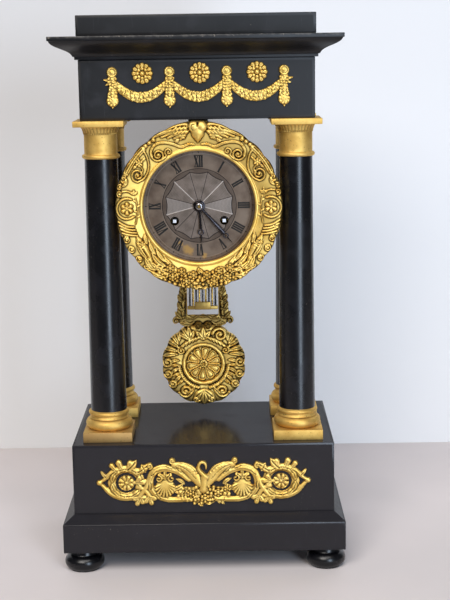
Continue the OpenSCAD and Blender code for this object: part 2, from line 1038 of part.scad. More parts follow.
strike_pinion_y = level(drum_front + drum_len - 0.5);
count_y = rear_y + 2;
count_r = 14;
count_bore = arbor_r + run;

module strike_wheel() {
  color(brass)
    union() {
      arbor(strike_wheel_at, arbor_r);
      bar(strike_wheel_at, level(plate_gap - 2), count_y + 3, arbor_r);
      wheel(strike_wheel_at, barrel_pinion_n, barrel_m,
            gap_at(strike_wheel_at, strike_at, barrel_pinion_n), strike_pinion_y, 3);
      crossed_wheel(strike_wheel_at, train_n, train_m, 0, level(26), wheel_t, 4);
    }
}

// Count wheel: notches spaced by one more blow each hour, with one more for the half hours
module count_wheel() {
  blows = 90;
  notch = 1.6;
  color(brass)
    slab(count_y, wheel_t)
      translate(strike_wheel_at)
        difference() {
          circle(count_r);
          circle(count_bore);
          for (h = [1:12])
            rotate(360 * (h * (h + 1) / 2 + h) / blows)
              translate([count_r - notch, -notch / 2])
                square([2 * notch, notch]);
          for (a = [0:120:240])
            rotate(a)
              translate([count_r * 0.52, 0])
                circle(count_r * 0.26);
        }
}

bell_y = pendulum_y + 7;
bell_h = 16;
head_y0 = bell_y + 1;
head_len = 8;

module hammer() {
  head_r = 2.5;
  reach = bell_r + head_r + 0.6;
  head_at = bell_at + polar(reach, 149);
  stem_y = rear_y + 3;
  stem_t = 2;
  color(steel)
    union() {
      arbor(hammer_at, arbor_r);
      bar(hammer_at, level(plate_gap - 2), stem_y + stem_t, arbor_r);
      slab(stem_y, stem_t)
        translate(hammer_at) {
          circle(2.6);
          rotate(heading(hammer_at, head_at))
            translate([0, -1.2])
              square([norm(head_at - hammer_at), 2.4]);
        }
      bar(head_at, stem_y, head_y0 + head_len, 1.2);
      bar(head_at, head_y0, head_y0 + head_len, head_r);
    }
}

// Bell wall as a turned shell, mouth towards the movement
module bell() {
  shoulder = 10;
  outer = concat(arc([bell_r - shoulder, bell_h - shoulder], shoulder, 20, 90, 7),
                 [[0, bell_h]]);
  inner = concat([[0, bell_h - bell_wall]],
                 arc([bell_r - shoulder, bell_h - shoulder], shoulder - bell_wall, 90, 20, 7));
  color(silvered)
    difference() {
      translate([bell_at[0], bell_y, dial_z + bell_at[1]])
        rotate([-90, 0, 0])
          rotate_extrude()
            polygon(concat([[bell_r, 0]], outer, inner, [[bell_r - bell_wall, 0]]));
      bar(bell_at, bell_y, bell_y + bell_h + 1, 1.6 + run);
    }
}

stand_foot = [28, -30];

// Foot on the back plate, arm past the pendulum and post through the bell
module bell_stand() {
  arm_y = pendulum_y + 4;
  arm_t = 2.2;
  arm_len = norm(bell_at - stand_foot);
  color(steel)
    union() {
      bar(stand_foot, rear_y, rear_y + 3, 5);
      bar(stand_foot, rear_y, arm_y + arm_t, 2);
      slab(arm_y, arm_t)
        translate(stand_foot)
          rotate(heading(stand_foot, bell_at)) {
            translate([0, -2.2])
              square([arm_len, 4.4]);
            translate([arm_len, 0])
              circle(3.4);
            circle(3);
          }
      bar(bell_at, arm_y, bell_y + bell_h + 4, 1.6);
      bar(bell_at, arm_y, bell_y + bell_h - bell_wall, 2.8);
      bar(bell_at, bell_y + bell_h, bell_y + bell_h + 2.5, 4.2);
    }
}

cock_z = swing_z + 2.5;
cock_h = 5.5;
spring_w = 5;
spring_t = 0.4;

module suspension_cock() {
  cock_half = 6;
  pad_half = 11;
  color(brass)
    difference() {
      union() {
        translate([-cock_half, rear_y, cock_z])
          cube([2 * cock_half, pendulum_y + 4 - rear_y, cock_h]);
        translate([-pad_half, rear_y, cock_z - 1])
          cube([2 * pad_half, 3, cock_h + 1]);
      }
      translate([-spring_w / 2 - seat, pendulum_y - spring_t / 2 - seat, cock_z - 1])
        cube([spring_w + 2 * seat, spring_t + 2 * seat, cock_h - 1]);
    }
}

module suspension_spring() {
  color(steel)
    translate([-spring_w / 2, pendulum_y - spring_t / 2, yoke_z + yoke_h + hook_h])
      cube([spring_w, spring_t, cock_z + 0.5 - yoke_z - yoke_h - hook_h]);
}

// Compensation rods between the yoke and the lower frame
module pendulum_rods() {
  color(steel)
    for (i = [0:rods - 1])
      translate([i * rod_pitch - rod_x, pendulum_y, rods_z])
        cylinder(r = rod_r, h = yoke_z - rods_z);
}

// Bar that gathers the rods under the suspension spring, with its hook
module pendulum_yoke() {
  half_t = 2.4;
  color(gilt)
    union() {
      translate([-yoke_half, pendulum_y - half_t, yoke_z])
        cube([2 * yoke_half, 2 * half_t, yoke_h]);
      translate([-hook_half, pendulum_y - half_t, yoke_z])
        cube([2 * hook_half, 2 * half_t, yoke_h + hook_h]);
    }
}

// Leafy frame between the rods and the bob, with the strap that carries the bob behind
module pendulum_frame() {
  half_t = 2.4;
  strap_half = 3;
  strap_t = 2;
  window_half = yoke_half + 0.8;
  hip = [29, 3.2];
  waist = [25.6, 24];
  shoulder = 22;
  block_half = 7.5;
  block_t = 3;
  curls = [[25, 8, 5], [23, 20, 4.5], [21.5, 32, 4.5], [20, frame_h - 5, 4.5]];
  color(gilt)
    union() {
      translate([0, pendulum_y + half_t, frame_z])
        rotate([90, 0, 0])
          linear_extrude(2 * half_t)
            difference() {
              union() {
                polygon([[shoulder, 0], hip, waist, [shoulder, frame_h], [-shoulder, frame_h],
                         [-waist[0], waist[1]], [-hip[0], hip[1]], [-shoulder, 0]]);
                for (s = [-1, 1])
                  for (c = curls)
                    translate([s * c[0], c[1]])
                      circle(c[2]);
              }
              translate([-window_half, window_z])
                square([2 * window_half, frame_h]);
            }
      translate([-window_half, pendulum_y - half_t, rods_z - crossbar_h])
        cube([2 * window_half, 2 * half_t, crossbar_h]);
      translate([-block_half, pendulum_y - half_t - block_t / 2, rods_z - crossbar_h])
        cube([2 * block_half, block_t / 2, crossbar_h + 4]);
      translate([-strap_half, pendulum_y, frame_z])
        cube([2 * strap_half, bob_t / 2 + strap_t, 5]);
      translate([-strap_half, pendulum_y + bob_t / 2, bob_z - 8])
        cube([2 * strap_half, strap_t, frame_z - bob_z + 10]);
    }
}

module pendulum_bob() {
  disc_r = bob_r * 0.45;
  rim = 3;
  outer = bob_r + trim_over;
  profile = concat([[0, -bob_t / 2]], [[bob_r - 4, -bob_t / 2], [outer, -bob_t / 4]],
                   [[outer, bob_t / 4]], arc([bob_r - 7, 0], bob_t / 2, 60, 120, 4),
                   [[disc_r + rim, bob_t / 2 - 1.2], [disc_r + rim / 2, bob_t / 2 + 0.8],
                    [disc_r, bob_t / 2]],
                   [[disc_r - 1.2, bob_t / 2 - 2.2], [6, bob_t / 2 - 2], [4, bob_t / 2],
                    [0, bob_t / 2 + 0.5]]);
  color(gilt)
    difference() {
      intersection() {
        translate([0, pendulum_y, bob_z])
          rotate([90, 0, 0])
            rotate_extrude()
              polygon(profile);
        translate([0, pendulum_y + bob_t, bob_z])
          rotate([90, 0, 0])
            linear_extrude(2 * bob_t)
              polygon(lobed(bob_r, bob_lobes, 2.2, bob_lobes * 6));
      }
      translate([-bob_r, pendulum_y - bob_t, frame_z - seat])
        cube([2 * bob_r, 2 * bob_t, bob_r]);
    }
}

foot(-1, -1);  // foot_front_left
foot(1, -1);  // foot_front_right
foot(-1, 1);  // foot_back_left
foot(1, 1);  // foot_back_right
base_plinth();
base_box();
base_mount();
column_base(-1, -1);  // column_base_front_left
column_base(1, -1);  // column_base_front_right
column_base(-1, 1);  // column_base_back_left
column_base(1, 1);  // column_base_back_right
column_shaft(-1, -1);  // column_shaft_front_left
column_shaft(1, -1);  // column_shaft_front_right
column_shaft(-1, 1);  // column_shaft_back_left
column_shaft(1, 1);  // column_shaft_back_right
column_capital(-1, -1);  // column_capital_front_left
column_capital(1, -1);  // column_capital_front_right
column_capital(-1, 1);  // column_capital_back_left
column_capital(1, 1);  // column_capital_back_right
column_tie_bolts();
frieze_box();
cornice();
attic();
frieze_garland();
frieze_rosettes();
hanging_saddle();
hanging_bolts();
movement_drum();
bezel();
dial();
front_plate();
back_plate();
plate_pillars();
going_barrel();
going_arbor();
strike_barrel();
strike_arbor();
intermediate_wheel();
centre_wheel();
third_wheel();
escape_wheel();
pallet_anchor();
cannon_pinion();
minute_wheel();
hour_wheel();
hour_hand();
minute_hand();
hand_nut();
strike_wheel();
count_wheel();
hammer();
bell();
bell_stand();
suspension_cock();
suspension_spring();
pendulum_yoke();
pendulum_rods();
pendulum_frame();
pendulum_bob();
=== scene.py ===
"""The look of the portico clock: cast gilt mounts, polished wood, an engraved dial and soft light."""

import json
import math

import bmesh
import bpy
import numpy as np
from mathutils import Matrix, Vector


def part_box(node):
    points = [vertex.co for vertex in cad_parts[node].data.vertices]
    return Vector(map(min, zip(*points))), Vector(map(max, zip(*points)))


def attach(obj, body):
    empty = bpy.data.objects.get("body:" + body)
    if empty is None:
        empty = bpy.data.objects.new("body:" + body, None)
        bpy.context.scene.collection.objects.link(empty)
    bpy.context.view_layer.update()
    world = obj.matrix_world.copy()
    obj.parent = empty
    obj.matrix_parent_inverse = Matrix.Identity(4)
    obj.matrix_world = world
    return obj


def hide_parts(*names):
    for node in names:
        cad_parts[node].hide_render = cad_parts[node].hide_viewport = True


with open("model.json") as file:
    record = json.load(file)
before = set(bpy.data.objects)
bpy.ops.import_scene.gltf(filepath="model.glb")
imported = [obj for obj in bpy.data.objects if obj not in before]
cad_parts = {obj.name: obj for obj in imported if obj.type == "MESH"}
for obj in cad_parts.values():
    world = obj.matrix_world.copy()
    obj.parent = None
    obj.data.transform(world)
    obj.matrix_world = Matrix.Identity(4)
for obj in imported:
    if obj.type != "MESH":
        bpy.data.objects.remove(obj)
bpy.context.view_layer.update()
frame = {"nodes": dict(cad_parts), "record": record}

MM = 0.001
CORNERS = ("front_left", "front_right", "back_left", "back_right")


# Places taken from the frame, in millimetres
def corners_of(node):
    low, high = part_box(node)
    return low / MM, high / MM


def centre_of(node):
    low, high = corners_of(node)
    return (low + high) / 2


def half_width(node):
    low, high = corners_of(node)
    return (high.x - low.x) / 2


DIAL_Z = centre_of("dial").z
DIAL_Y = corners_of("dial")[0].y
BEZEL_BACK = corners_of("bezel")[1].y
BEZEL_R = half_width("bezel")
VIEW_R = 48.4
CREST = 1.8
CREST_TURN = 0.36
BEZEL_LOBES = 24
BEZEL_DIP = 1.2
BLOCK_H = 9.0
BASE_FRONT = corners_of("base_box")[0].y
FRIEZE_LOW = corners_of("frieze_box")[0]
FRIEZE_FRONT = FRIEZE_LOW.y


# Colours
def srgb(red, green, blue):
    """Display values from 0 to 255 as a linear colour."""
    parts = [c / 255 for c in (red, green, blue)]
    return tuple(c / 12.92 if c <= 0.04045 else ((c + 0.055) / 1.055) ** 2.4 for c in parts) + (1.0,)


class Graph:
    """A material's node tree, with short calls for the nodes used here."""

    def __init__(self, name):
        self.material = bpy.data.materials.new(name)
        self.material.use_nodes = True
        self.tree = self.material.node_tree
        self.shader = self.tree.nodes["Principled BSDF"]
        self.coords = self.add("ShaderNodeTexCoord").outputs["Object"]

    def add(self, kind):
        return self.tree.nodes.new(kind)

    def feed(self, socket, value):
        """Links an output to a socket, or sets a constant on it."""
        if isinstance(value, bpy.types.NodeSocket):
            self.tree.links.new(value, socket)
        else:
            socket.default_value = value

    def finish(self, colour, roughness, metallic=0.0, normal=None):
        self.feed(self.shader.inputs["Base Color"], colour)
        self.feed(self.shader.inputs["Roughness"], roughness)
        self.feed(self.shader.inputs["Metallic"], metallic)
        if normal is not None:
            self.feed(self.shader.inputs["Normal"], normal)
        return self.material

    def cover(self, share, film):
        """Lays another shader over a share of the surface."""
        blend = self.add("ShaderNodeMixShader")
        for socket, value in zip(blend.inputs, (share, self.shader.outputs[0], film.outputs[0])):
            self.feed(socket, value)
        self.feed(self.tree.nodes["Material Output"].inputs["Surface"], blend.outputs[0])
        return self.material

    def veil(self, colour, share):
        """Covers a share of the surface with a plain matt film."""
        film = self.add("ShaderNodeBsdfDiffuse")
        self.feed(film.inputs["Color"], colour)
        return self.cover(share, film)

    def one_sided(self):
        """Lets a view from behind the surface pass through it."""
        side = self.add("ShaderNodeNewGeometry")
        return self.cover(side.outputs["Backfacing"], self.add("ShaderNodeBsdfTransparent"))

    def math(self, operation, *values):
        node = self.add("ShaderNodeMath")
        node.operation = operation
        for socket, value in zip(node.inputs, values):
            self.feed(socket, value)
        return node.outputs[0]

    def times(self, first, second):
        return self.math("MULTIPLY", first, second)

    def minus(self, first, second):
        return self.math("SUBTRACT", first, second)

    def larger(self, first, second):
        return self.math("MAXIMUM", first, second)

    def scaled(self, value, factor, offset):
        """A value times a factor, plus an offset."""
        return self.math("MULTIPLY_ADD", value, factor, offset)

    def noise(self, size, detail=3.0, stretch=(1.0, 1.0, 1.0)):
        """Noise from 0 to 1 whose features are about size millimetres."""
        mapping = self.add("ShaderNodeMapping")
        self.feed(mapping.inputs["Vector"], self.coords)
        self.feed(mapping.inputs["Scale"], stretch)
        node = self.add("ShaderNodeTexNoise")
        self.feed(node.inputs["Vector"], mapping.outputs[0])
        self.feed(node.inputs["Scale"], 1 / (size * MM))
        self.feed(node.inputs["Detail"], detail)
        return node.outputs[0]

    def ramp(self, value, low, high, start=0.0, end=1.0):
        """A smooth step of value between low and high."""
        node = self.add("ShaderNodeMapRange")
        node.interpolation_type = "SMOOTHSTEP"
        for socket, given in zip(node.inputs, (value, low, high, start, end)):
            self.feed(socket, given)
        return node.outputs[0]

    def patches(self, size, detail, low, high):
        """Soft patches of about size millimetres, where noise rises from low to high."""
        return self.ramp(self.noise(size, detail), low, high)

    def mix(self, factor, first, second):
        node = self.add("ShaderNodeMix")
        node.data_type = "RGBA"
        for index, value in ((0, factor), (6, first), (7, second)):
            self.feed(node.inputs[index], value)
        return node.outputs[2]

    def tint(self, colour, mask, amount, shade):
        """A colour taken by an amount towards a shade where the mask is 1."""
        return self.mix(self.times(mask, amount), colour, shade)

    def attribute(self, name):
        node = self.add("ShaderNodeAttribute")
        node.attribute_name = name
        return node.outputs["Fac"]

    def axes(self):
        """The Object coordinates X, Y and Z in millimetres."""
        node = self.add("ShaderNodeSeparateXYZ")
        self.feed(node.inputs[0], self.coords)
        return [self.math("DIVIDE", socket, MM) for socket in node.outputs]

    def bump(self, height, depth, strength=1.0):
        """A normal for relief of the given depth in millimetres."""
        node = self.add("ShaderNodeBump")
        self.feed(node.inputs["Strength"], strength)
        self.feed(node.inputs["Distance"], depth * MM)
        self.feed(node.inputs["Height"], height)
        return node.outputs[0]


# Materials
BARE_WOOD = srgb(112, 104, 95)
RUBBED_WOOD = srgb(98, 93, 88)
SCRATCHED_WOOD = srgb(58, 58, 64)
DULL_FILM = srgb(50, 48, 51)
WORN_GILT = srgb(196, 146, 98)
SPOTTED_GILT = srgb(70, 48, 22)


def ebonised_wood(name, dark, gloss, film):
    """Black stained wood under varnish: rubbed clouds, scratches, chipped arrises and a dull film."""
    g = Graph(name)
    edge = g.attribute("edge")
    cloud = g.noise(45, 2)
    rub = g.patches(16, 4, 0.5, 0.75)
    chips = g.ramp(g.scaled(edge, 0.16, g.noise(2.4, 5)), 0.76, 0.8)
    bruise = g.times(g.patches(1.3, 3, 0.68, 0.72), g.patches(26, 2, 0.58, 0.66))
    bare = g.larger(chips, g.times(bruise, 0.6))
    scratch = g.ramp(g.noise(1.1, 2, (1.0, 1.0, 0.05)), 0.68, 0.74)
    rubbed = g.times(edge, g.ramp(g.scaled(edge, 0.3, g.noise(4, 5)), 0.68, 0.9))
    pale = 1.6 * dark
    colour = g.mix(rub, srgb(dark, dark, dark + 3), srgb(pale, pale, pale + 5))
    colour = g.tint(colour, scratch, 0.25, SCRATCHED_WOOD)
    colour = g.tint(colour, rubbed, 0.45, RUBBED_WOOD)
    colour = g.mix(bare, colour, BARE_WOOD)
    shine = g.scaled(rub, 0.08, g.scaled(cloud, 0.14, gloss))
    shine = g.larger(shine, g.times(bare, 0.7))
    skin = g.scaled(bare, -0.6, g.noise(2.5, 3))
    g.shader.inputs["Specular IOR Level"].default_value = 0.4
    g.finish(colour, shine, 0.0, g.bump(skin, 0.04, 0.4))
    return g.veil(g.mix(bare, DULL_FILM, BARE_WOOD), film)


def gilding(name, bright, warm, crease_shade_colour, sheen, pits, dark_reflection_below=0.0):
    """Fire gilding with painted shade in the creases of its relief, worn and spotted, and with a painted
    dark reflection, browner, below a height.
    """
    g = Graph(name)
    tone = g.patches(11, 3, 0.35, 0.7)
    worn = g.patches(7, 5, 0.58, 0.74)
    spots = g.patches(1.5, 2, pits, pits + 0.04)
    colour = g.tint(g.mix(tone, bright, warm), worn, 0.3, WORN_GILT)
    # Painted shade: the gilding goes to its crease shade colour where the relief sinks below its
    # surroundings.
    colour = g.mix(g.attribute("crease_shade"), colour, crease_shade_colour)
    # Painted dark reflection: below the given height the gilding turns browner and darker.
    if dark_reflection_below:
        low_part = g.ramp(g.axes()[2], dark_reflection_below - 0.3, dark_reflection_below + 0.3, 0.75, 0.0)
        colour = g.mix(low_part, colour, g.mix(worn, srgb(170, 136, 92), srgb(146, 112, 84)))
    colour = g.tint(colour, spots, 0.6, SPOTTED_GILT)
    dullness = g.scaled(g.noise(3, 4), 0.16, sheen)
    return g.finish(colour, dullness, 0.9, g.bump(g.noise(0.8, 3), 0.05, 0.45))


def metal(name, colour, shade, roughness, spread):
    """A plain metal with faint stains and brushed wear."""
    g = Graph(name)
    fine = g.noise(0.9, 3, (1.0, 0.2, 1.0))
    stained = g.tint(colour, g.patches(12, 4, 0.4, 0.72), 0.6, shade)
    return g.finish(stained, g.scaled(fine, spread, roughness), 1.0, g.bump(fine, 0.02, 0.3))


def rod_metals(pitch):
    """Brass and steel rods by turns, told apart by their number from the middle, kept positive."""
    g = Graph("rod_metals")
    number = g.math("ROUND", g.math("DIVIDE", g.axes()[0], pitch))
    odd = g.math("MODULO", g.math("ADD", number, 10.0), 2.0)
    brass = g.mix(g.patches(9, 4, 0.4, 0.7), srgb(196, 160, 84), srgb(140, 108, 56))
    steel = g.mix(g.patches(7, 4, 0.4, 0.7), srgb(84, 82, 84), srgb(42, 40, 40))
    return g.finish(g.mix(odd, steel, brass), g.scaled(g.noise(2, 3), 0.2, 0.18), 1.0)


ROD_PITCH = 3.0
SECTORS = 12
SCALLOP_OUT = 30.1
SCALLOP_IN = 28.1
HOUR_RING = 32.2
MINUTE_RINGS = (45.3, 47.6)
LINE_HALF = 0.2
# Place and reach of each
WORN_PATCHES = ((-10.5, -38.5, 5.4), (-17.0, -33.0, 2.8), (3.5, -44.0, 3.0))


class DialGraph(Graph):
    """The engraved dial: rings, spokes, a scalloped rosette and engine turning."""

    def __init__(self):
        super().__init__("silvered_dial")
        self.x, _, z = self.axes()
        self.z = self.minus(z, DIAL_Z)
        self.reach = self.away(0.0, 0.0)
        self.turns = self.times(self.math("ARCTAN2", self.x, self.z), SECTORS / math.tau)
        spoke = self.math("FRACT", self.math("ADD", self.turns, float(SECTORS)))
        self.off_spoke = self.math("ABSOLUTE", self.minus(spoke, 0.5))

    def away(self, x, z):
        """The distance from a place on the dial."""
        across = self.minus(self.x, x)
        up = self.minus(self.z, z)
        return self.math("SQRT", self.scaled(across, across, self.times(up, up)))

    def line(self, distance, half=LINE_HALF):
        """1 on a thin line where distance is 0, fading over its own width."""
        return self.ramp(self.math("ABSOLUTE", distance), half, 2 * half, 1.0, 0.0)

    def rim(self, radius, half):
        """A line round the dial at a radius."""
        return self.line(self.minus(self.reach, radius), half)

    def within(self, radius):
        return self.ramp(self.minus(self.reach, radius), -LINE_HALF, LINE_HALF, 1.0, 0.0)

    def scallop(self):
        """The radius of the rosette's scalloped edge."""
        lens = self.scaled(self.off_spoke, -2.0, 1.0)
        return self.scaled(self.times(lens, lens), SCALLOP_OUT - SCALLOP_IN, SCALLOP_IN)

    def spokes(self):
        side = self.math("SINE", self.times(self.off_spoke, math.tau / SECTORS))
        return self.line(self.times(side, self.reach))

    def painted_glint_spokes(self):
        """1 at the spokes 45 and 105 degrees to either side of twelve, which are painted as glints."""
        number = self.math("FLOOR", self.math("ABSOLUTE", self.turns))
        return self.times(self.math("MODULO", number, 2.0), self.math("LESS_THAN", number, 4.5))

    def painted_sheen_sectors(self):
        """The sectors at three and nine, painted lighter as a sheen where the engine turning catches more
        light than the rest.
        """
        heading = self.times(self.math("ROUND", self.turns), math.tau / SECTORS)
        return self.ramp(self.math("ABSOLUTE", self.math("SINE", heading)), 0.85, 0.98)

    def engine_turning(self):
        """Close rings that waver round the dial, from 0 to 1."""
        waver = self.math("SINE", self.times(self.turns, 18.0))
        wave = self.math("SINE", self.scaled(waver, 0.9, self.times(self.reach, 5.2)))
        return self.scaled(wave, 0.5, 0.5)

    def worn_patch(self, x, z, reach):
        """A place where the silver has gone and the brass shows."""
        ragged = self.scaled(self.noise(4, 4), reach * 1.4, self.away(x, z))
        return self.ramp(ragged, reach * 1.1, reach * 1.75, 1.0, 0.0)


def silvered_dial():
    """Tarnished silver, engraved, with a greyer rosette, worn places below it, and painted glints and sheen
    on the rosette.
    """
    g = DialGraph()
    edge = g.scallop()
    inside = g.within(edge)
    colour = g.mix(g.patches(15, 4, 0.35, 0.7), srgb(122, 106, 92), srgb(98, 82, 70))
    colour = g.tint(colour, g.within(HOUR_RING), 0.55, srgb(66, 56, 50))
    rosette = g.mix(g.patches(8, 3, 0.35, 0.7), srgb(126, 112, 102), srgb(104, 92, 82))
    colour = g.mix(inside, colour, rosette)
    # Painted sheen: the side sectors of the rosette are lightened.
    colour = g.tint(colour, g.times(g.painted_sheen_sectors(), inside), 0.5, srgb(156, 146, 138))
    guilloche = g.times(g.engine_turning(), inside)
    colour = g.tint(colour, guilloche, 0.3, srgb(76, 66, 60))
    for patch in WORN_PATCHES:
        colour = g.tint(colour, g.worn_patch(*patch), 0.85, srgb(176, 138, 80))
    rims = g.larger(g.rim(edge, 0.3), g.rim(HOUR_RING, 0.24))
    colour = g.tint(colour, rims, 0.9, srgb(40, 33, 30))
    spokes = g.times(g.spokes(), inside)
    # Engraved spokes are dark, except those painted light as glints.
    spoke_ink_and_glint = g.mix(g.painted_glint_spokes(), srgb(44, 37, 34), srgb(190, 178, 168))
    colour = g.tint(colour, spokes, 0.9, spoke_ink_and_glint)
    for radius in MINUTE_RINGS:
        colour = g.tint(colour, g.rim(radius, 0.14), 0.45, srgb(160, 148, 138))
    height = g.scaled(g.larger(rims, spokes), -0.5, g.times(guilloche, 0.35))
    dullness = g.scaled(g.noise(5, 4), 0.15, 0.36)
    return g.finish(colour, dullness, 0.85, g.bump(height, 0.12, 0.7))


def matt(name, colour, shade, size, roughness):
    """A plain matt surface with a faint change of tone."""
    g = Graph(name)
    return g.finish(g.mix(g.patches(size, 2, 0.3, 0.7), colour, shade), roughness)


def wall_paint():
    """Pale paint, lighter low down and greyer high up as painted light, with a painted shadow of the clock
    behind it, that a view from behind passes through.
    """
    g = Graph("wall_paint")
    x, _, z = g.axes()
    # Painted light: the wall is lighter low down and greyer high up, to even out the lamps.
    colour = g.mix(g.ramp(z, 60.0, 480.0), srgb(233, 234, 236), srgb(219, 220, 223))
    # Painted shadow of the clock on the wall, seen between the columns, darker higher up.
    off_middle = g.math("ABSOLUTE", g.math("ADD", x, 5.5))
    clock_shadow_area = g.times(g.ramp(off_middle, 82.0, 122.0, 1.0, 0.0), g.ramp(z, 375.0, 470.0, 1.0, 0.0))
    shade = g.times(clock_shadow_area, g.ramp(z, 240.0, 350.0, 0.18, 0.52))
    g.finish(g.mix(shade, colour, srgb(62, 58, 56)), 0.95)
    return g.one_sided()


WOOD = ebonised_wood("polished_wood", 10, 0.2, 0.0)
BASE_WOOD = ebonised_wood("base_wood", 15, 0.1, 0.5)
SATIN_WOOD = ebonised_wood("satin_wood", 13, 0.36, 0.0)
# The third colour of each gilding is the painted shade of its creases.
GILT = gilding("gilt_mounts", srgb(240, 204, 114), srgb(224, 184, 92), srgb(34, 21, 8), 0.4, 0.72)
TURNED_GILT = (srgb(226, 190, 108), srgb(204, 164, 86), srgb(78, 52, 22), 0.52, 0.67)
GILT_PLAIN = gilding("gilt_turned", *TURNED_GILT)
# A copy of the turned gilding with a painted dark reflection on its lower part, for the front-left column
# base.
GILT_DARK_REFLECTION = gilding("gilt_dark_reflection", *TURNED_GILT, corners_of("column_base_front_left")[0].z + BLOCK_H)
# A brighter copy of the mount gilding: painted light for the bob, which hangs in the shade of the case.
GILT_BOB_PAINTED_LIGHT = gilding("gilt_bob_painted_light", srgb(254, 218, 124), srgb(240, 200, 104), srgb(36, 23, 9), 0.37, 0.74)
# A darker copy of the gilding: painted shade for the pendulum frame and yoke, which stand in the shade of
# the case.
GILT_PAINTED_SHADE = gilding("gilt_pendulum_painted_shade", srgb(188, 158, 88), srgb(158, 128, 66), srgb(30, 22, 10), 0.38, 0.72)
BRASS = metal("movement_brass", srgb(214, 176, 96), srgb(160, 122, 60), 0.22, 0.18)
STEEL = metal("bright_steel", srgb(186, 186, 190), srgb(120, 116, 114), 0.16, 0.16)
# Steel brighter than the other steel: partly the arbors' own polished steel, partly painted highlight so
# their ends show white in the shaded winding holes.
WINDING_PAINTED_BRIGHT = metal("winding_steel_painted_bright", srgb(240, 240, 243), srgb(216, 216, 220), 0.4, 0.1)
BLUED = metal("blued_steel", srgb(60, 57, 60), srgb(40, 36, 36), 0.22, 0.12)
BELL = metal("bell_metal", srgb(196, 186, 164), srgb(150, 138, 112), 0.14, 0.12)
INK = matt("engraving_wax", srgb(13, 11, 10), srgb(22, 19, 17), 6, 0.85)
SILVER = silvered_dial()
RODS = rod_metals(ROD_PITCH)
FLOOR = matt("floor_cloth", srgb(220, 212, 212), srgb(213, 206, 206), 160, 0.9)
WALL = wall_paint()

FINISHES = {"ebonised_wood": WOOD, "gilt_brass": GILT_PLAIN, "movement_brass": BRASS, "steel": STEEL,
            "blued_steel": BLUED, "silvered_dial": SILVER, "bell_metal": BELL}
SLOTS = {s["node"]: s["material_slot"] for s in frame["record"]["subparts"]}


# Mesh helpers
FORM_ANGLE = 80
WELD = 1e-6


def piece(bm, name, body, material, nodes=(), smooth_angle=40):
    """A finished mesh as an object that rides on a body and stands for its nodes."""
    mesh = bpy.data.meshes.new(name)
    bm.to_mesh(mesh)
    bm.free()
    mesh.shade_smooth()
    mesh.set_sharp_from_angle(angle=math.radians(smooth_angle))
    mesh.materials.append(material)
    obj = bpy.data.objects.new(name, mesh)
    bpy.context.scene.collection.objects.link(obj)
    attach(obj, body)
    if nodes:
        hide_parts(*nodes)
    return obj


def arc(centre, radius, start, end, count):
    """Points on an arc, its headings in degrees."""
    angles = np.radians(np.linspace(start, end, count))
    return [(centre[0] + radius * math.cos(a), centre[1] + radius * math.sin(a)) for a in angles]


def polar(radius, degrees):
    """A place by its radius and its heading clockwise from twelve."""
    a = math.radians(degrees)
    return radius * math.sin(a), radius * math.cos(a)


def curve(points, per_span=8):
    """A smooth line through points, as a Catmull-Rom spline."""
    p = np.array(points, float)
    p = np.vstack([2 * p[0] - p[1], p, 2 * p[-1] - p[-2]])
    t = np.linspace(0, 1, per_span, endpoint=False)[:, None]
    spans = [0.5 * (2 * b + (c - a) * t + (2 * a - 5 * b + 4 * c - d) * t ** 2
                    + (3 * b - a - 3 * c + d) * t ** 3)
             for a, b, c, d in zip(p, p[1:], p[2:], p[3:])]
    return np.vstack(spans + [p[-2:-1]])


def spiral(x, z, outer, inner, start, turns):
    """A volute that winds inwards from its start heading; positive turns go counterclockwise."""
    t = np.linspace(0, 1, max(10, int(abs(turns) * 22)))
    radius = outer + (inner - outer) * t
    angle = np.radians(start) + math.tau * turns * t
    return np.column_stack([x + radius * np.cos(angle), z + radius * np.sin(angle)])


def along(values, count):
    """A number, or a few spread evenly, as one value for each point of a line."""
    values = np.atleast_1d(np.asarray(values, float))
    return np.interp(np.linspace(0, 1, count), np.linspace(0, 1, len(values)), values)


def join(whole, part):
    """Adds a finished mesh to another and frees it."""
    mesh = bpy.data.meshes.new("joined")
    part.to_mesh(mesh)
    part.free()
    whole.from_mesh(mesh)
    bpy.data.meshes.remove(mesh)


def soften(bm, offset, angle=20):
    """Rounds off every arris sharper than an angle in degrees."""
    sharp = [e for e in bm.edges if e.is_manifold and e.calc_face_angle() > math.radians(angle)]
    bmesh.ops.bevel(bm, geom=sharp, offset=offset * MM, offset_type="OFFSET", segments=2, profile=0.5,
                    affect="EDGES", material=-1)


def add_block(bm, low, high):
    low, high = Vector(low), Vector(high)
    size = (high - low) * MM
    place = Matrix.Translation((low + high) / 2 * MM) @ Matrix.Diagonal((*size, 1))
    return bmesh.ops.create_cube(bm, size=1.0, matrix=place)["verts"]


def soft_block(low, high, offset):
    bm = bmesh.new()
    add_block(bm, low, high)
    soften(bm, offset)
    return bm


# Carved relief
DOT = 1e-3
TINY = 1e-9
THINNEST = 1e-6
FURROW_FLOOR = 0.3
LEAF_WIDTHS = np.array((0.35, 0.8, 1.0, 0.7, 0.12))
LEAF_HEIGHTS = np.array((0.8, 1.0, 0.55))


def dot(x, z):
    """A line so short that it stands for a point."""
    return [(x, z), (x + DOT, z)]


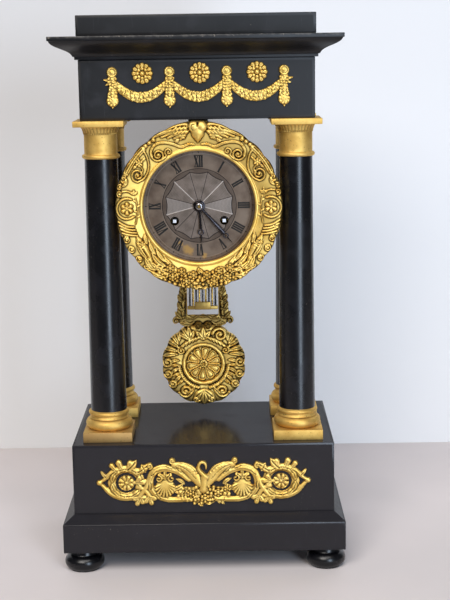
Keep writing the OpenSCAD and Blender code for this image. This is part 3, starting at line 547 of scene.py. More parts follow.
class Relief:
    """Heights over points of an upright plane, raised by rounded strokes and domes, in millimetres."""

    def __init__(self, x, z):
        self.x = np.asarray(x, float)
        self.z = np.asarray(z, float)
        self.h = np.zeros(len(self.x))
        self.side = 1

    def _reach(self, a, b, wa, wb):
        """Indices near a segment, and for each its squared distance in widths and place along it."""
        wide = max(wa, wb)
        near = np.nonzero((self.x > min(a[0], b[0]) - wide) & (self.x < max(a[0], b[0]) + wide)
                          & (self.z > min(a[1], b[1]) - wide) & (self.z < max(a[1], b[1]) + wide))[0]
        run = b - a
        length = max(run @ run, TINY)
        dx = self.x[near] - a[0]
        dz = self.z[near] - a[1]
        t = np.clip((dx * run[0] + dz * run[1]) / length, 0, 1)
        width = np.maximum(wa + (wb - wa) * t, THINNEST)
        away = ((dx - t * run[0]) ** 2 + (dz - t * run[1]) ** 2) / width ** 2
        inside = away < 1
        return near[inside], away[inside], t[inside]

    def _segments(self, points, width, amount):
        p = np.array(points, float) * (self.side, 1)
        w = along(width, len(p))
        h = along(amount, len(p))
        return zip(p, p[1:], w, w[1:], h, h[1:])

    def stroke(self, points, width, height):
        """A round ridge along points; width is its half width, and both may change along it."""
        for a, b, wa, wb, ha, hb in self._segments(points, width, height):
            near, away, t = self._reach(a, b, wa, wb)
            self.h[near] = np.maximum(self.h[near], (ha + (hb - ha) * t) * np.sqrt(1 - away))

    def groove(self, points, width, depth):
        """A round furrow along points."""
        cut = np.zeros(len(self.h))
        for a, b, wa, wb, ha, hb in self._segments(points, width, depth):
            near, away, t = self._reach(a, b, wa, wb)
            cut[near] = np.maximum(cut[near], (ha + (hb - ha) * t) * (1 - away))
        self.h = np.maximum(self.h - cut, np.minimum(self.h, FURROW_FLOOR))

    def dome(self, x, z, radius, height):
        self.stroke(dot(x, z), radius, height)

    def ring(self, x, z, radius, width, height):
        self.stroke(spiral(x, z, radius, radius, 0, 1), width, height)

    def leaf(self, x, z, heading, length, width, height, bend=0.0):
        """A pointed leaf with a midrib furrow, bending sideways by bend degrees along its length."""
        t = np.linspace(0, 1, 10)
        angle = np.radians(heading + bend * t)
        line = np.column_stack([x + length * t * np.cos(angle), z + length * t * np.sin(angle)])
        self.stroke(line, LEAF_WIDTHS * width, LEAF_HEIGHTS * height)
        self.groove(line[1:8], 0.2 * width + 0.12, 0.35 * height)

    def palm(self, x, z, heading, length, count, spread, height):
        """Leaflets fanned about a heading; three make a trefoil."""
        for i in range(count):
            off = (i / (count - 1) - 0.5) * spread
            scale = 1 - 0.25 * abs(off) / spread
            self.leaf(x, z, heading + off, length * scale, length * 0.24, height)

    def flower(self, x, z, radius, petals, height):
        for i in range(petals):
            a = math.tau * (i + 0.5) / petals
            out = radius * np.array((math.cos(a), math.sin(a)))
            self.stroke([(x, z) + 0.3 * out, (x, z) + 0.68 * out],
                        (0.2 * radius, min(0.36, 2.1 / petals) * radius), (0.7 * height, height))
        self.dome(x, z, 0.26 * radius, 1.1 * height)

    def volute(self, x, z, radius, start, turns, width, height):
        line = spiral(x, z, radius, 0.16 * radius, start, turns)
        self.stroke(line, (width, 0.65 * width), height)
        self.dome(x, z, 0.24 * radius, height)

    def band(self, points, width, height):
        """A broad strap with a raised spine between two furrows."""
        self.stroke(points, width, 0.85 * np.asarray(height))
        self.groove(points, 0.62 * np.asarray(width), 0.3)
        self.stroke(points, 0.42 * np.asarray(width), height)

    def both(self, draw):
        """Draws a motif on the right and again mirrored on the left."""
        for side in (1, -1):
            self.side = side
            draw(self)
        self.side = 1


# How far the relief must sink below its surroundings for full painted crease shade.
CREASE_SHADE_DEPTH = 0.29
CREASE_ROUNDS = 8
BARE_BELOW = 0.12
RIM_ROUNDS = 3


def mark_crease_shade(bm, height):
    """A painted-shade attribute, from 0 on crests to 1 where the relief falls below its surroundings and
    shade is painted on the gilding.
    """
    bm.verts.index_update()
    first, second = np.array([(e.verts[0].index, e.verts[1].index) for e in bm.edges]).T
    size = len(height)
    count = np.maximum(np.bincount(first, minlength=size) + np.bincount(second, minlength=size), 1)
    level = np.array(height, float)
    for _ in range(CREASE_ROUNDS):
        total = np.bincount(first, level[second], size) + np.bincount(second, level[first], size)
        level = 0.4 * level + 0.6 * total / count
    layer = bm.verts.layers.float.new("crease_shade")
    for v, c in zip(bm.verts, np.clip((level - height) / CREASE_SHADE_DEPTH, 0, 1)):
        v[layer] = c


def casting(draw, low, high, back, step, thick):
    """An openwork casting on an upright face: a grid cut to the drawn shape and raised by its relief."""
    wide, tall = high[0] - low[0], high[1] - low[1]
    place = (Matrix.Translation(Vector(((low[0] + high[0]) / 2, back, (low[1] + high[1]) / 2)) * MM)
             @ Matrix.Rotation(math.pi / 2, 4, "X") @ Matrix.Diagonal((wide / 2 * MM, tall / 2 * MM, 1, 1)))
    bm = bmesh.new()
    bmesh.ops.create_grid(bm, x_segments=round(wide / step), y_segments=round(tall / step), size=1,
                          matrix=place)
    relief = Relief([v.co.x / MM for v in bm.verts], [v.co.z / MM for v in bm.verts])
    draw(relief)
    mark_crease_shade(bm, relief.h)
    rise = bm.verts.layers.float.new("rise")
    for v, h in zip(bm.verts, relief.h):
        v[rise] = h
    bare = [f for f in bm.faces if min(v[rise] for v in f.verts) < BARE_BELOW]
    bmesh.ops.delete(bm, geom=bare, context="FACES")
    for _ in range(RIM_ROUNDS):
        rim = [v for v in bm.verts if v.is_boundary]
        bmesh.ops.smooth_vert(bm, verts=rim, factor=0.5, use_axis_x=True, use_axis_z=True)
    made = bmesh.ops.extrude_face_region(bm, geom=list(bm.faces))["geom"]
    front = {g for g in made if isinstance(g, bmesh.types.BMVert)}
    crease_shade = bm.verts.layers.float["crease_shade"]
    for v in bm.verts:
        if v in front:
            v.co.y -= (thick + v[rise]) * MM
        else:
            v[crease_shade] = 0
    bmesh.ops.recalc_face_normals(bm, faces=list(bm.faces))
    return bm


def turned_casting(draw, centre, radii, outline, base, back, rings, steps):
    """A round casting: a spun sheet whose rim follows outline and whose front is base plus relief."""
    inner, outer = radii
    bm = bmesh.new()
    ends = [bm.verts.new((r * MM, 0, 0)) for r in radii]
    edge = bm.edges.new(ends)
    bmesh.ops.subdivide_edges(bm, edges=[edge], cuts=rings - 1)
    bmesh.ops.spin(bm, geom=list(bm.verts) + list(bm.edges), cent=(0, 0, 0), axis=(0, 1, 0),
                   angle=math.tau, steps=steps, use_merge=True)
    bmesh.ops.remove_doubles(bm, verts=list(bm.verts), dist=WELD)
    flat = np.array([(v.co.x / MM, v.co.z / MM) for v in bm.verts])
    reach = np.hypot(flat[:, 0], flat[:, 1])
    turn = np.arctan2(flat[:, 0], flat[:, 1])
    grown = inner + (reach - inner) * (outline(turn) - inner) / (outer - inner)
    flat *= (grown / np.maximum(reach, TINY))[:, None]
    relief = Relief(flat[:, 0], flat[:, 1])
    draw(relief)
    mark_crease_shade(bm, relief.h)
    front = base((grown - inner) / (outline(turn) - inner)) + relief.h
    for v, (x, z), h in zip(bm.verts, flat, front):
        v.co = Vector((centre[0] + x, back - h, centre[1] + z)) * MM
    wall = bmesh.ops.extrude_edge_only(bm, edges=[e for e in bm.edges if e.is_boundary])["geom"]
    crease_shade = bm.verts.layers.float["crease_shade"]
    for v in (g for g in wall if isinstance(g, bmesh.types.BMVert)):
        v.co.y = back * MM
        v[crease_shade] = 0
    rim = [e for e in bm.edges if e.is_boundary]
    if inner > 0:
        bmesh.ops.bridge_loops(bm, edges=rim)
    else:
        bmesh.ops.contextual_create(bm, geom=rim)
    bmesh.ops.recalc_face_normals(bm, faces=list(bm.faces))
    return bm


# Bezel
def winged_heart(r):
    point = [(0, 67.6), (0, 63.6), (0, 59.6), (0, 56)]
    r.groove(point, (9.6, 7.6, 4.6, 2), 6)
    for side in (-1, 1):
        r.dome(3.4 * side, 69.2, 4.8, 3.1)
    r.stroke(point, (6.2, 5.4, 3, 0.7), (2.6, 3, 2.8, 1.8))
    r.groove([(0, 75.4), (0, 69)], (1.3, 0.5), (2.4, 0.6))
    r.groove(spiral(-3.2, 68.8, 2.6, 2.6, 70, 0.5), 0.45, 0.9)


def wing(r):
    bone = curve([(6, 69), (11, 71.4), (18, 70.6), (26.5, 67.2), (33, 63.6), (38.6, 60.2)])
    r.stroke(bone, (1.5, 1.7, 1), (2.6, 2.6, 1.9))
    for i in range(5):
        root = np.array((8 + 0.9 * i, 67.4 - 1.9 * i))
        tip = np.array((36.4 - 5.4 * i, 61.4 - 0.7 * i))
        middle = 0.5 * (root + tip) + (0.5, 1.5 - 0.2 * i)
        r.stroke(curve([root, middle, tip]), (1, 1.5, 1), (2.4, 2.4, 1.5))
        r.groove(curve([root, middle, tip]), 0.28, 0.45)
    for i in range(4):
        r.stroke([(8 + 3.4 * i, 69 - 0.2 * i), (11 + 3.4 * i, 67.4 - 0.5 * i)], 1.35, 2.9)
        r.stroke([(7.8 + 3 * i, 65.6 - 0.1 * i), (10.4 + 3 * i, 64 - 0.3 * i)], 1.2, 2.8)


def upper_scroll(r):
    line = curve([(3.2, 54), (8, 54.2), (14.5, 52), (21.5, 54.6), (29.5, 56), (36.6, 54.2), (40.2, 48.6),
                  (39.4, 43.4)])
    r.stroke(line, (0.8, 1.2, 1.2, 1.1), (1.3, 1.7, 1.8, 1.8))
    r.groove(line, 0.4, 0.7)
    r.volute(34.2, 45.2, 5.5, -18, -1.7, 0.85, 1.8)
    r.volute(25.3, 47.8, 3.3, -55, 1.4, 0.7, 1.5)
    r.stroke(curve([(30.6, 41.4), (28.6, 43.2), (27, 45)]), 0.7, 1.4)
    r.palm(17, 56, 60, 4, 3, 70, 1.2)


def rim_border(r):
    for degrees in (33, 36.5, 40):
        r.dome(*polar(69.6, degrees), 1.9, 2)
    headings = np.linspace(43, 64, 14)
    r.stroke([polar(69, d) for d in headings], 2.5, 2)
    for radius in (67.9, 70):
        r.groove([polar(radius, d) for d in headings], 0.45, 0.9)


def cartouche(r):
    r.stroke(curve([(47.4, 50.4), (44, 44.6), (42.6, 38), (43.2, 32), (46.8, 25.4), (52, 22.4)]), 0.8, 1.6)
    r.volute(52, 28.2, 5.8, -90, 1.6, 0.8, 1.6)
    r.flower(50.6, 38.4, 3.4, 6, 1.7)
    for heading in (75, 140, 20, -40):
        x, z = polar(3, 90 - heading)
        r.leaf(50.6 + x, 38.4 + z, heading, 4.2, 1.1, 1.4)
    r.stroke(curve([(49.4, 35.6), (47.6, 32.4), (49.8, 29)]), 0.55, 1.3)
    r.dome(46.4, 41.6, 0.8, 1.3)


def flank(r):
    r.palm(61.5, 21.5, 20, 5.6, 3, 110, 2)
    r.volute(68, 18.2, 2.5, 120, -1.3, 0.8, 2)
    r.volute(63.6, 27, 2.2, -60, 1.3, 0.7, 1.8)
    r.palm(56.2, 11.4, 95, 5, 3, 100, 1.4)
    r.volute(68.2, 12.8, 2.7, -100, 1.3, 0.8, 2)
    r.stroke(curve([(57.4, 12.4), (61, 14.6), (65.6, 14.4)]), 0.7, 1.5)
    r.stroke(spiral(62, -0.4, 8.9, 8.9, -128, 0.68), 0.95, 1.8)
    r.flower(62, -0.4, 5.6, 6, 2.1)
    r.stroke(curve([(54.6, 8.6), (53.4, 1), (53.6, -6), (55, -14)]), 0.5, 1.2)
    for i, z in enumerate((5, 0.6, -3.8, -8.2)):
        r.leaf(53.6, z, 150 if i % 2 else 30, 3.2, 0.8, 1.2)
    for j in range(4):
        r.stroke(curve([(56.2 - 0.9 * j, -16.4 - 2.5 * j), (62.6 - 0.7 * j, -15.6 - 2.5 * j),
                        (70 - 1.1 * j, -11.4 - 3.3 * j)]), (0.7, 1.1, 0.9), 1.9)


def cornucopia(r):
    r.leaf(42.5, -46, 54, 25, 4.6, 2.1, 8)
    for off in (-2.2, 2.2):
        r.groove(curve([(45, -44 + off * 0.4), (50, -37 + off), (55.5, -29 + off * 0.7)]), 0.45, 0.7)
    r.flower(49.4, -32.2, 3.3, 6, 2.4)
    r.dome(53.2, -30.8, 1.6, 2.2)
    r.dome(51.2, -28.2, 1.5, 2.2)
    r.volute(62.6, -27.4, 3, 60, -1.4, 0.8, 2)
    r.volute(58.6, -36, 2.9, 40, -1.4, 0.8, 2)
    r.volute(52.4, -44.4, 2.8, 20, -1.4, 0.8, 2)
    for degrees in (104, 112, 121, 130, 139):
        r.palm(*polar(66.4, degrees), 90 - degrees, 4.6, 3, 90, 1.8)


def acanthus(r):
    for x, z, heading, length in ((30, -51, 22, 17), (27, -56, 8, 20), (31, -60.5, 4, 18),
                                  (40, -54, 34, 14)):
        r.leaf(x, z, heading, length, 2.5, 2.3, 24)
    for x, z, heading, length in ((22, -52.6, 30, 13), (30, -47, 38, 14), (38.6, -40.4, 48, 12),
                                  (45.6, -31, 62, 9)):
        r.leaf(x, z, heading, length, 2, 1.8, 18)
    r.volute(45.5, -50.6, 2.8, 0, -1.4, 0.8, 2)


def rose(r, x, z, radius):
    r.groove(dot(x, z), 1.25 * radius, 2.4)
    r.dome(x, z, radius, 1.6)
    r.flower(x, z, radius, 6, 2.8)
    r.groove(spiral(x, z, 0.5 * radius, 0.5 * radius, 0, 1), 0.35, 1)


def bouquet(r):
    """Small flowers over berries and leaves, crowded along the foot of the bezel."""
    rng = np.random.default_rng(7)
    for radius in (58.6, 61.4, 64.2, 67, 69.8):
        spread = 36 if radius > 60 else 27
        for degrees in np.arange(-spread, spread + 0.1, 3.4):
            x, z = polar(radius + rng.uniform(-0.8, 0.8), 180 + degrees + rng.uniform(-1.1, 1.1))
            if rng.random() < 0.3:
                r.leaf(x, z, rng.uniform(0, 360), 5, 1.5, 2.6)
            else:
                r.dome(x, z, rng.uniform(1.2, 1.9), rng.uniform(1.9, 3.2))
    for degrees, radius in ((5.6, 59.6), (16, 58.6), (26, 59), (10.6, 65.6), (21.6, 65)):
        for side in (-1, 1):
            rose(r, *polar(radius, 180 + side * degrees), 3.7)


def bezel_relief(r):
    for motif in (wing, upper_scroll, rim_border, cartouche, flank, cornucopia, acanthus):
        r.both(motif)
    bouquet(r)
    winged_heart(r)


def bezel_front(t):
    """Section of the bezel's ground from the bead round the dial to the rim."""
    field = 3.7 + 2.6 * np.sin(np.clip((t - 0.16) / 0.84, 0, 1) * math.pi * 0.62)
    bead = 3.2 + 1.6 * np.sqrt(np.clip(1 - ((t - 0.07) / 0.07) ** 2, 0, 1))
    edge = np.clip((t - 0.94) / 0.06, 0, 1)
    return np.maximum(field, bead) - 1.6 * edge ** 3


def lobed_rim(radius, lobes, dip):
    return lambda turn: radius - dip * (1 - np.abs(np.cos(turn * lobes / 2)))


def crested_rim(turn):
    """The bezel's lobed rim, which rises smoothly over the winged heart."""
    crest = np.exp(-(turn / CREST_TURN) ** 2)
    dip = BEZEL_R - lobed_rim(BEZEL_R, BEZEL_LOBES, BEZEL_DIP)(turn)
    return BEZEL_R - dip * (1 - crest) + CREST * crest


def make_bezel():
    bm = turned_casting(bezel_relief, (0, DIAL_Z), (VIEW_R, BEZEL_R), crested_rim, bezel_front,
                        BEZEL_BACK, rings=56, steps=840)
    piece(bm, "bezel_casting", "case", GILT, ("bezel",), FORM_ANGLE)


# Base mount, drawn about its own middle
MOUNT_Z = 81.0
MOUNT_STRETCH = 1.02
ROSETTE_X = 67.0


def lobe(r, x, z, heading, length, width, height=2.6):
    """A rounded leaf with a vein."""
    vein = [(x, z), np.add((x, z), polar(length - width, 90 - heading))]
    r.stroke(vein, (0.5 * width, width), (0.8 * height, height))
    r.groove(vein, 0.3, 0.6)


def trefoil(r, x, z, heading, length):
    for off in (-50, 50, 0):
        lobe(r, x, z, heading + off, length * (1 - 0.003 * abs(off)), 0.3 * length, 2.4)


def end_scroll(r):
    r.ring(ROSETTE_X, 0, 12.7, 3.9, 1)
    r.band(curve([(90, 0), (86.4, -3.6), (81, -9.6), (74, -13.2), (67, -14.2), (59.8, -13.6), (52, -13.8)]),
           (1.8, 2.6, 3, 3, 2.8), 2.3)
    r.band(curve([(90, 0.6), (85.4, 4), (80.6, 9), (74, 12.6), (67, 13.6), (59.8, 11.8), (53, 10.6)]),
           (1.8, 2.4, 2.8, 2.8, 2.6), 2.3)
    for degrees in (6, 32, 58, 84, 110):
        for way in (-1, 1):
            x, z = polar(12.4, 90 - way * degrees)
            r.leaf(ROSETTE_X + x, z, way * (degrees + 84), 9.6, 2.8, 2.7, way * 24)
    r.dome(90.4, 0.4, 3, 2.9)
    r.dome(ROSETTE_X, 0, 7.4, 0.9)
    r.flower(ROSETTE_X, 0, 7.2, 8, 2.1)
    r.ring(ROSETTE_X, 0, 6.9, 0.6, 1.7)
    r.stroke([(49, 0.6), (61, 0)], (3, 1.6), 1.7)
    trefoil(r, 58.8, 0.2, 180, 9)
    r.leaf(84, 4.4, 52, 9, 2.2, 2.4)
    lobe(r, 75, 10.4, 52, 10, 2.9)
    lobe(r, 70, 11.4, 66, 11, 3.3)
    lobe(r, 66, 11.4, 112, 10.4, 3.2)
    r.leaf(67, 11, 148, 14, 3.7, 2.8, -16)
    r.leaf(58, 8.6, 150, 16, 3.6, 2.8, -8)
    r.dome(46.6, 15.2, 3.5, 2)
    r.volute(46.6, 15.2, 2.6, -90, -1.3, 1.1, 2.7)
    r.leaf(50, 9.6, 62, 8.6, 2.6, 2.5)


def lower_sprays(r):
    r.stroke(curve([(43.4, 10), (47, 2.4), (50.4, -4.8), (56.4, -13)]), (2.8, 2.6, 2.4), 2.2)
    r.stroke(curve([(58, -4), (53.6, -5.4), (49.8, -8.6), (46.4, -14)]), (2, 2.3, 2.3), 2.1)
    trefoil(r, 55.4, -13.6, -66, 9)
    trefoil(r, 47.6, -12.8, -108, 9.2)


def shell_scroll(r):
    r.band(curve([(13, 2), (20, 8), (27.9, 12), (35.6, 13), (43, 9.6), (46.6, 2), (45.6, -5), (40.6, -12),
                  (32, -15.6), (22.7, -16), (12, -15.4)]), (2.4, 3.4, 3.9, 3.6, 3.3, 3.2, 3), 2.4)
    for x, z, heading in ((18, 8.6, 28), (26, 12, 14), (40, 11, -50), (46, 1, -100), (42, -10, -140)):
        r.leaf(x, z, heading, 9, 2.4, 2.9, 12)
    r.dome(33.4, -5.2, 9.2, 2)
    for degrees in np.arange(-184, 8, 21):
        tip = np.add((33.4, -4.4), polar(8.2, 90 - degrees))
        r.stroke([(33.4, -0.4), tip], (0.5, 1.5), (1.7, 2.5))
        r.dome(*tip, 1.1, 2.9)
    for side in (-1, 1):
        r.volute(33.4 + 5.6 * side, 3.4, 3.2, 90, side * 1.2, 1.2, 2.4)
    r.palm(33.4, 3, 90, 9, 3, 90, 2.4)
    r.leaf(27, -7, 168, 11, 2.8, 2.2, -20)
    r.leaf(24, 3, 196, 10, 2.4, 2, 20)


def swan_wing(r):
    r.stroke(curve([(3, -2), (7.6, 4.8), (12.4, 11), (18.4, 14.4), (25.4, 16)]),
             (3.4, 5.6, 5.6, 4.4, 3), 2.4)
    for f in (0, 0.5, 1):
        r.groove(curve([(5.4 + 3 * f, 7.4 - 8 * f), (9.6 + 4.6 * f, 13 - 7.4 * f),
                        (15.6 + 5 * f, 16.6 - 5 * f), (22 + 2 * f, 17.4 - 2.8 * f)]), 0.4, 0.5)
    for i in range(6):
        r.dome(6 + 2.6 * i, 8.4 + 2.3 * i - 0.17 * i * i, 0.9, 3)
        r.dome(8.6 + 2.5 * i, 6 + 2.2 * i - 0.13 * i * i, 0.8, 2.8)
    r.dome(27, 19.6, 3.3, 2.3)
    r.volute(27, 19.6, 2.4, -90, 1.2, 1, 2.8)


def swan(r):
    r.stroke([(-0.4, -7), (0.8, 4)], (3.6, 4.2), 2.9)
    r.stroke(curve([(2.4, 4), (-1.4, 8), (-4.3, 12.4), (-3.4, 16.8), (-0.6, 18.2), (1.9, 16.4), (2.2, 12)]),
             (2.8, 2.3, 2, 1.9, 1.9, 1), (3, 2.8, 2.8, 3))


def fruit(r):
    """Fruit, leaves and four roses, heaped under the swan."""
    rng = np.random.default_rng(3)
    r.stroke([(-17, -10.4), (17, -10.4)], 6.4, 0.9)
    r.stroke([(-5, -15), (5, -15)], 6.4, 0.9)
    for z in np.arange(-4.6, -21, -3):
        half = 25 - 18 * ((z + 4.6) / 16) ** 2
        for x in np.arange(-half, half + 0.1, 3.7):
            u, v = x + rng.uniform(-0.8, 0.8), z + rng.uniform(-0.8, 0.8) - 0.004 * x * x
            if rng.random() < 0.35:
                r.leaf(u, v, rng.uniform(180, 360), 5, 1.6, 2.4)
            else:
                r.dome(u, v, rng.uniform(1.4, 2.3), rng.uniform(1.7, 2.9))
    for x, z, radius in ((1, -15.4, 4.2), (-11.4, -11, 3.6), (12.4, -10, 3.8), (20.4, -6.4, 3.2)):
        rose(r, x, z, radius)


def base_relief(r):
    r.x = r.x / MOUNT_STRETCH
    r.z = r.z - MOUNT_Z
    for motif in (end_scroll, lower_sprays, shell_scroll, swan_wing):
        r.both(motif)
    fruit(r)
    swan(r)


def make_base_mount():
    bm = casting(base_relief, (-97, 55.5), (97, 106), BASE_FRONT, step=0.6, thick=0.5)
    piece(bm, "base_mount_casting", "case", GILT, ("base_mount",), FORM_ANGLE)


# Frieze garland and rosettes
DROP_PITCH = 48.6
DROPS = (-1.5, -0.5, 0.5, 1.5)
GARLAND_X = 1.2
ROSETTE_SHIFT = 2.6
GARLAND_Z = FRIEZE_LOW.z + 36.5


def garland_drop(r, x, rng):
    """A disc, and under it a tapering bunch that swells to a rounded foot."""
    r.dome(x, 4.2, 5.1, 2.1)
    r.ring(x, 4.2, 3.5, 0.8, 2.5)
    r.dome(x, 4.2, 1.5, 2.8)
    r.stroke([(x, 0), (x, -8), (x, -16)], (4, 3, 5), 1.9)
    for z in np.arange(-1.4, -17, -2.4):
        half = 1.9 + 1.5 * abs(z + 8) / 8
        for off in (-1, 0, 1):
            r.dome(x + off * half + rng.uniform(-0.4, 0.4), z + rng.uniform(-0.5, 0.5), 1.5,
                   rng.uniform(2.1, 2.8))
    r.dome(x, -19.8, 5.7, 2.4)
    for radius, count in ((3.9, 9), (1.6, 4)):
        for i in range(count):
            u, v = polar(radius, 360 * i / count)
            r.dome(x + u, v - 19.8, 1.6, rng.uniform(2.3, 2.8))
    r.dome(x, -25.8, 1.2, 2)


def swag(r, x, rng):
    """A festoon of berries and leaves that hangs between two drops."""
    half = DROP_PITCH / 2
    t = np.linspace(-0.94, 0.94, 25)
    line = np.column_stack([x + half * t, -2.4 - 14.8 * (1 - t ** 2)])
    swell = 1.9 + 3 * np.sqrt(1 - t ** 2)
    r.stroke(line, swell, 1.8)
    for (cx, cz), w in zip(line[::2], swell[::2]):
        for off in (-0.7, 0.0, 0.7):
            r.dome(cx + rng.uniform(-0.6, 0.6), cz + off * w + rng.uniform(-0.4, 0.4), 0.24 * w + 0.6,
                   rng.uniform(2.2, 2.9) - 0.4 * abs(off))
    for (cx, cz), w in zip(line[1::2], swell[1::2]):
        for side in (-1, 1):
            r.leaf(cx, cz, rng.uniform(-30, 30) + 90 * side, 0.95 * w, 0.36 * w, 2.3)


def garland_relief(r):
    rng = np.random.default_rng(11)
    r.x = r.x - GARLAND_X
    r.z = r.z - GARLAND_Z
    for i in DROPS[:-1]:
        swag(r, (i + 0.5) * DROP_PITCH, rng)
    for i in DROPS:
        garland_drop(r, i * DROP_PITCH, rng)
    for side in (-1, 1):
        r.leaf(side * 74, -3, 90 - side * 80, 7.4, 1.7, 2)
        r.leaf(side * 74, -4.6, 90 - side * 110, 6, 1.5, 1.8)


def rosette_front(t):
    return 1.1 + 0.9 * np.cos(t * 1.4)


def rosette_relief(r):
    """Two rounds of petals, a vein on each outer one, and an eye."""
    for count, inner, outer, width in ((12, 6.4, 7.2, 2), (8, 3.5, 4, 1.6)):
        for i in range(count):
            direction = np.array(polar(1, 360 * i / count))
            r.stroke([direction * inner, direction * outer], (0.8 * width, width), (1.3, 1.6))
    for i in range(12):
        direction = np.array(polar(1, 30 * i))
        r.groove([direction * 6.4, direction * 8], 0.35, 0.5)
    r.dome(0, 0, 2.4, 2.8)


def make_frieze():
    bm = casting(garland_relief, (-86, GARLAND_Z - 28), (86, GARLAND_Z + 10), FRIEZE_FRONT, step=0.55,
                 thick=0.5)
    piece(bm, "frieze_garland_casting", "case", GILT, ("frieze_garland",), FORM_ANGLE)
    rosettes = bmesh.new()
    low, high = corners_of("frieze_rosettes")
    radius = (high.z - low.z) / 2
    for i in (-1, 0, 1):
        centre = (i * DROP_PITCH + ROSETTE_SHIFT, (low.z + high.z) / 2)
        join(rosettes, turned_casting(rosette_relief, centre, (0, radius), lobed_rim(radius, 12, 0.9),
                                      rosette_front, FRIEZE_FRONT, rings=18, steps=144))
    piece(rosettes, "frieze_rosette_castings", "case", GILT, ("frieze_rosettes",), FORM_ANGLE)


# Pendulum bob and frame
BOB_R = half_width("pendulum_bob")
BOB_BACK = corners_of("pendulum_bob")[1].y
BOB_DISC = 17.6
BOB_LOBES = 14
BOB_DIP = 1.5
BOB_Z = 162.8
BOB_TOP = 38.7
BOB_PETALS = 10
PETAL_EDGE = ((4.6, -5), (8.4, -9.5), (12.4, -13), (14.9, -9.5))
PETAL_TIP = (15.5, 0)


def bob_front(t):
    """Dished middle inside a ring, then a swelling leafy rim."""
    reach = t * BOB_R
    dish = 3.4 + 1.2 * np.clip(1 - reach / 6, 0, 1)
    swell = np.sin(np.clip((reach - BOB_DISC) / (BOB_R - BOB_DISC), 0, 1) * math.pi)
    fall = np.clip((reach - 0.9 * BOB_R) / (0.1 * BOB_R), 0, 1) ** 2
    return np.where(reach < BOB_DISC, dish, 5.2 + 1.2 * swell - 1.8 * fall)


def bob_scrolls(r):
    """One side of the leafy rim: a volute on the right or acanthus on the left, leaves, curls and a rope."""
    if r.side > 0:
        r.volute(15.8, 28.4, 7, 170, -1.5, 1.6, 2.9)
    else:
        for heading, length in ((128, 10), (98, 13), (70, 15), (42, 13)):
            r.leaf(13.4, 24, heading, length, 2.7, 2.8, -12)
    r.stroke(curve([(2, 26.6), (8, 24.6), (14, 22), (20.4, 17.6)]), (1, 1.8, 1.3), 2.5)
    for i in range(5):
        r.stroke([(4.4 + 3 * i, 27.4 - 1.3 * i), (7.4 + 3 * i, 23 - 1.5 * i)], 0.6, 2.8)
    r.volute(20.8, 13.6, 3.6, 60, -1.4, 1, 2.6)
    for x, z, heading, length in ((24, 20, 66, 15), (24, 17, 42, 15), (25, 13, 24, 15), (25, 10, 6, 14)):
        r.leaf(x, z, heading, length, 2.6, 2.8, -14)
    r.leaf(23, 23, 96, 12, 2.4, 2.5, -20)
    for degrees, radius in ((86, 4.8), (105, 4.1), (122, 4)):
        r.volute(*polar(39.2 - radius, degrees), radius, 90 - degrees, -1.4, 1.4, 2.8)
        r.leaf(*polar(24, degrees - 5), 98 - degrees, 9, 2, 2.4, -26)
        r.leaf(*polar(24, degrees + 5), 82 - degrees, 8, 1.7, 2.2)
    r.volute(17.6, -25.8, 6.6, -20, -1.5, 1.6, 2.9)
    r.leaf(9.6, -22.6, -66, 13, 2.4, 2.5, 24)
    r.volute(7.6, -34.6, 3, 200, 1.3, 1.2, 2.6)
    for degrees in np.arange(96, 172, 5.2):
        r.leaf(*polar(22.2, degrees), 130 - degrees, 3.4, 1.2, 2.7)


def bob_petal(r, heading):
    """A petal with a raised outline, which runs up one edge, over the tip and down the other."""
    outline = [*PETAL_EDGE, PETAL_TIP] + [(radius, -turn) for radius, turn in PETAL_EDGE[::-1]]
    r.stroke([polar(6, heading), polar(12.8, heading)], (0.8, 2.9), (0.9, 1.1))
    r.stroke(curve([polar(radius, heading + turn) for radius, turn in outline], 4), 0.75, 2.4)


def bob_relief(r):
    r.ring(0, 0, BOB_DISC + 1, 1.8, 1.7)
    for i in range(BOB_PETALS):
        bob_petal(r, 360 * (i + 0.2) / BOB_PETALS)
    r.ring(0, 0, 3.1, 0.9, 1.9)
    for i in range(6):
        r.dome(*polar(1.9, 60 * i), 0.9, 2.2)
    r.dome(0, 0, 1.1, 3)
    r.both(bob_scrolls)
    r.palm(0, -25, -90, 15, 5, 100, 2.4)
    r.palm(0, 24, 90, 12, 3, 80, 2)


def bob_rim(turn):
    """The bob's lobed rim, cut straight under the frame."""
    straight = BOB_TOP / np.maximum(np.cos(turn), 0.2)
    return np.minimum(lobed_rim(BOB_R, BOB_LOBES, BOB_DIP)(turn), straight)


def make_bob():
    bm = turned_casting(bob_relief, (0, BOB_Z), (0, BOB_R), bob_rim, bob_front, BOB_BACK, rings=76,
                        steps=440)
    piece(bm, "pendulum_bob_casting", "pendulum", GILT_BOB_PAINTED_LIGHT, ("pendulum_bob",), FORM_ANGLE)


FRAME_FOOT = BOB_Z + 39.0
FRAME_TOP = corners_of("pendulum_frame")[1].z
FRAME_BACK = centre_of("pendulum_bob").y + 1.5
BAR_Z = FRAME_FOOT + 13.6
BAR_ROUND = 0.35
# Half width, height and thickness
CROSSBAR = (14.4, 3.2, 3.0)
MIDDLE_BLOCK = (7.5, 7.2, 4.2)


